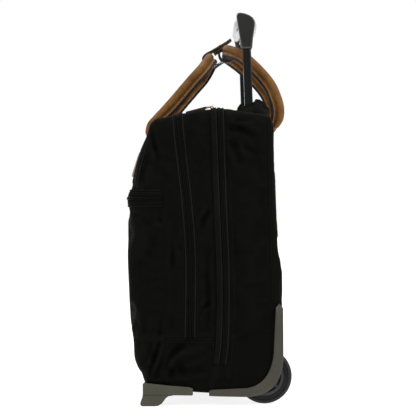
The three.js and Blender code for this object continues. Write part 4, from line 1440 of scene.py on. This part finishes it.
def leather_patch(half_a=38.0, body="front_section"):
    high, low = at(-98.5, 0, 348.4), at(-109.9, 0, 312.8)
    down = low - high
    place = Place((high + low) / 2, (0, 1, 0), (down.z, 0, -down.x))
    half_b = down.length / MM / 2
    slab("patch_plate", place, rounded_rectangle(half_a, half_b, 5.0), -1.6, 1.6, body, PATCH_LEATHER, 0.9,
         nodes=("leather_patch",))
    rim = place.path(ring_of(rounded_rectangle(half_a - 2.6, half_b - 2.6, 3.4)), 1.6)
    stitches("patch_stitches", rim, body, TAN_THREAD, 2.9, 2.0, 0.3, slot="patch_leather")
    panel = rounded_rectangle(half_a - 8.0, half_b - 6.5, 2.2)
    slab("patch_panel", place, panel, 1.2, 2.2, body, PATCH_LEATHER, 0.5)


def inner_panel(name, node, body, face, material, inset, bow, thick):
    """A stitched panel inside the case, bowed a little across its middle; face is +1 or -1 along X."""
    low, high = (Vector(v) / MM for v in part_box(node))
    x, z_mid = (low.x + high.x) / 2 - SHIFT, (high.z + low.z) / 2
    half_y, half_z = (high.y - low.y) / 2 - inset, (high.z - low.z) / 2 - inset
    corner = min(half_y, half_z, 22.0)
    rows, columns = np.linspace(-1, 1, 29), np.linspace(-1, 1, 45)

    def point(a, b, depth):
        y, z = a * half_y, b * half_z
        dy, dz = max(abs(y) - half_y + corner, 0.0), max(abs(z) - half_z + corner, 0.0)
        over = math.hypot(dy, dz)
        if over > corner:
            y -= math.copysign(dy * (1 - corner / over), y)
            z -= math.copysign(dz * (1 - corner / over), z)
        edge = min(1.0, (half_y - abs(y)) / 9.0, (half_z - abs(z)) / 9.0)
        sag = bow * (1 - a * a) * (1 - b * b) + 0.5 * noise.noise(Vector((y * 0.02, z * 0.02, half_y)))
        return at(x + face * (sag + depth * thick * (0.35 + 0.65 * max(edge, 0.0) ** 0.5)), y, z_mid + z)

    def border(grow, radius, depth, out):
        line = ring_of(rounded_rectangle(half_y + grow, half_z + grow, radius, 8))
        shrink = max(grow, 0)
        return [(point(y / (half_y + shrink), z / (half_z + shrink), depth), Vector((out, 0, 0))) for y, z in line]

    rings = [[point(a, b, 0.5) for a in columns] + [point(a, b, -0.5) for a in columns[::-1]] for b in rows]
    panel = sweep(name, rings, body, material, nodes=(node,))
    stitches(f"{name}_outer_stitches", border(-5, 18, 0.5, face), body, THREAD, slot=slot_of(material))
    tube_along(f"{name}_binding", border(1, 21, 0.0, face), 1.7, body, NYLON_RIB, slot=slot_of(material))
    stitches(f"{name}_inner_stitches", border(-5, 18, -0.5, -face), body, THREAD, slot=slot_of(material))
    return panel


add_camera()
add_studio()
scene.view_settings.view_transform = "Standard"

whole = build_body()
skin = Surface(whole)
split_body(whole)
bpy.data.objects.remove(whole)
for sewn in (front_zip, main_zip, pocket_zip, side_seams):
    sewn(skin)
handle("front_leather_handle", FRONT_LEG, "front_carry", "front_handle", [0.40, 0.66, 0.78, 0.88, 1.0])
handle("back_leather_handle", BACK_LEG, "back_carry", "back_handle", [0.25, 0.72, 0.95, 1.0])
for tag, side in SIDES:
    for part in (corner_guard, front_foot, wheel):
        part(tag, side)
for part in (trolley_grip, trolley_tubes, shroud, zip_hardware, back_sleeve, handle_tabs, keeper, leather_patch):
    part()
inner_panel("divider_panel", "laptop_divider", "rear_case", -1, LINING, 3.0, 4.0, 5.0)
inner_panel("pocket_wall", "pocket_back_panel", "front_section", 1, LINING, 9.0, 2.0, 1.6)
inner_panel("trolley_cover", "trolley_cover_board", "rear_case", -1, BOARD, 2.0, 0.6, 2.4)

PAINT = (
    (OLIVE, "left_corner_guard right_corner_guard left_front_foot right_front_foot"),
    (BLACK_PLASTIC, "left_wheel_cup right_wheel_cup release_button tube_foot_bracket trolley_bezel"),
    (STEEL, "left_axle right_axle"),
    (TYRE, "left_tyre right_tyre"),
    (HUB, "left_hub right_hub"),
    (TUBE, "left_inner_tube right_inner_tube left_mid_tube right_mid_tube"),
    (ALUMINIUM, "left_outer_tube right_outer_tube release_linkage"),
    (GRIP, "trolley_grip"),
    (NYLON, "trolley_shroud back_sleeve"),
    (LINING, "laptop_divider pocket_back_panel"),
    (BOARD, "trolley_cover_board"),
    (PATCH_LEATHER, "leather_patch"),
    (DARK_LEATHER, "keeper_flap keeper_base main_pull front_pull pocket_pull"),
    (BRASS, "keeper_stud main_slider front_slider pocket_slider sleeve_top_slider sleeve_base_slider"),
    (COIL, "main_zip_chain front_zip_chain"),
    (TAPE, "pocket_zip_band"),
)
for material, names in PAINT:
    for node in names.split():
        paint(NODES[node].data, material)
for node in ("left_wheel_cup", "right_wheel_cup", "left_axle", "right_axle", "trolley_bezel", "tube_foot_bracket",
             "left_outer_tube", "right_outer_tube", "release_linkage"):
    modify(NODES[node], "BEVEL", apply=False, width=0.5 * MM, segments=2, limit_method="ANGLE", harden_normals=False)
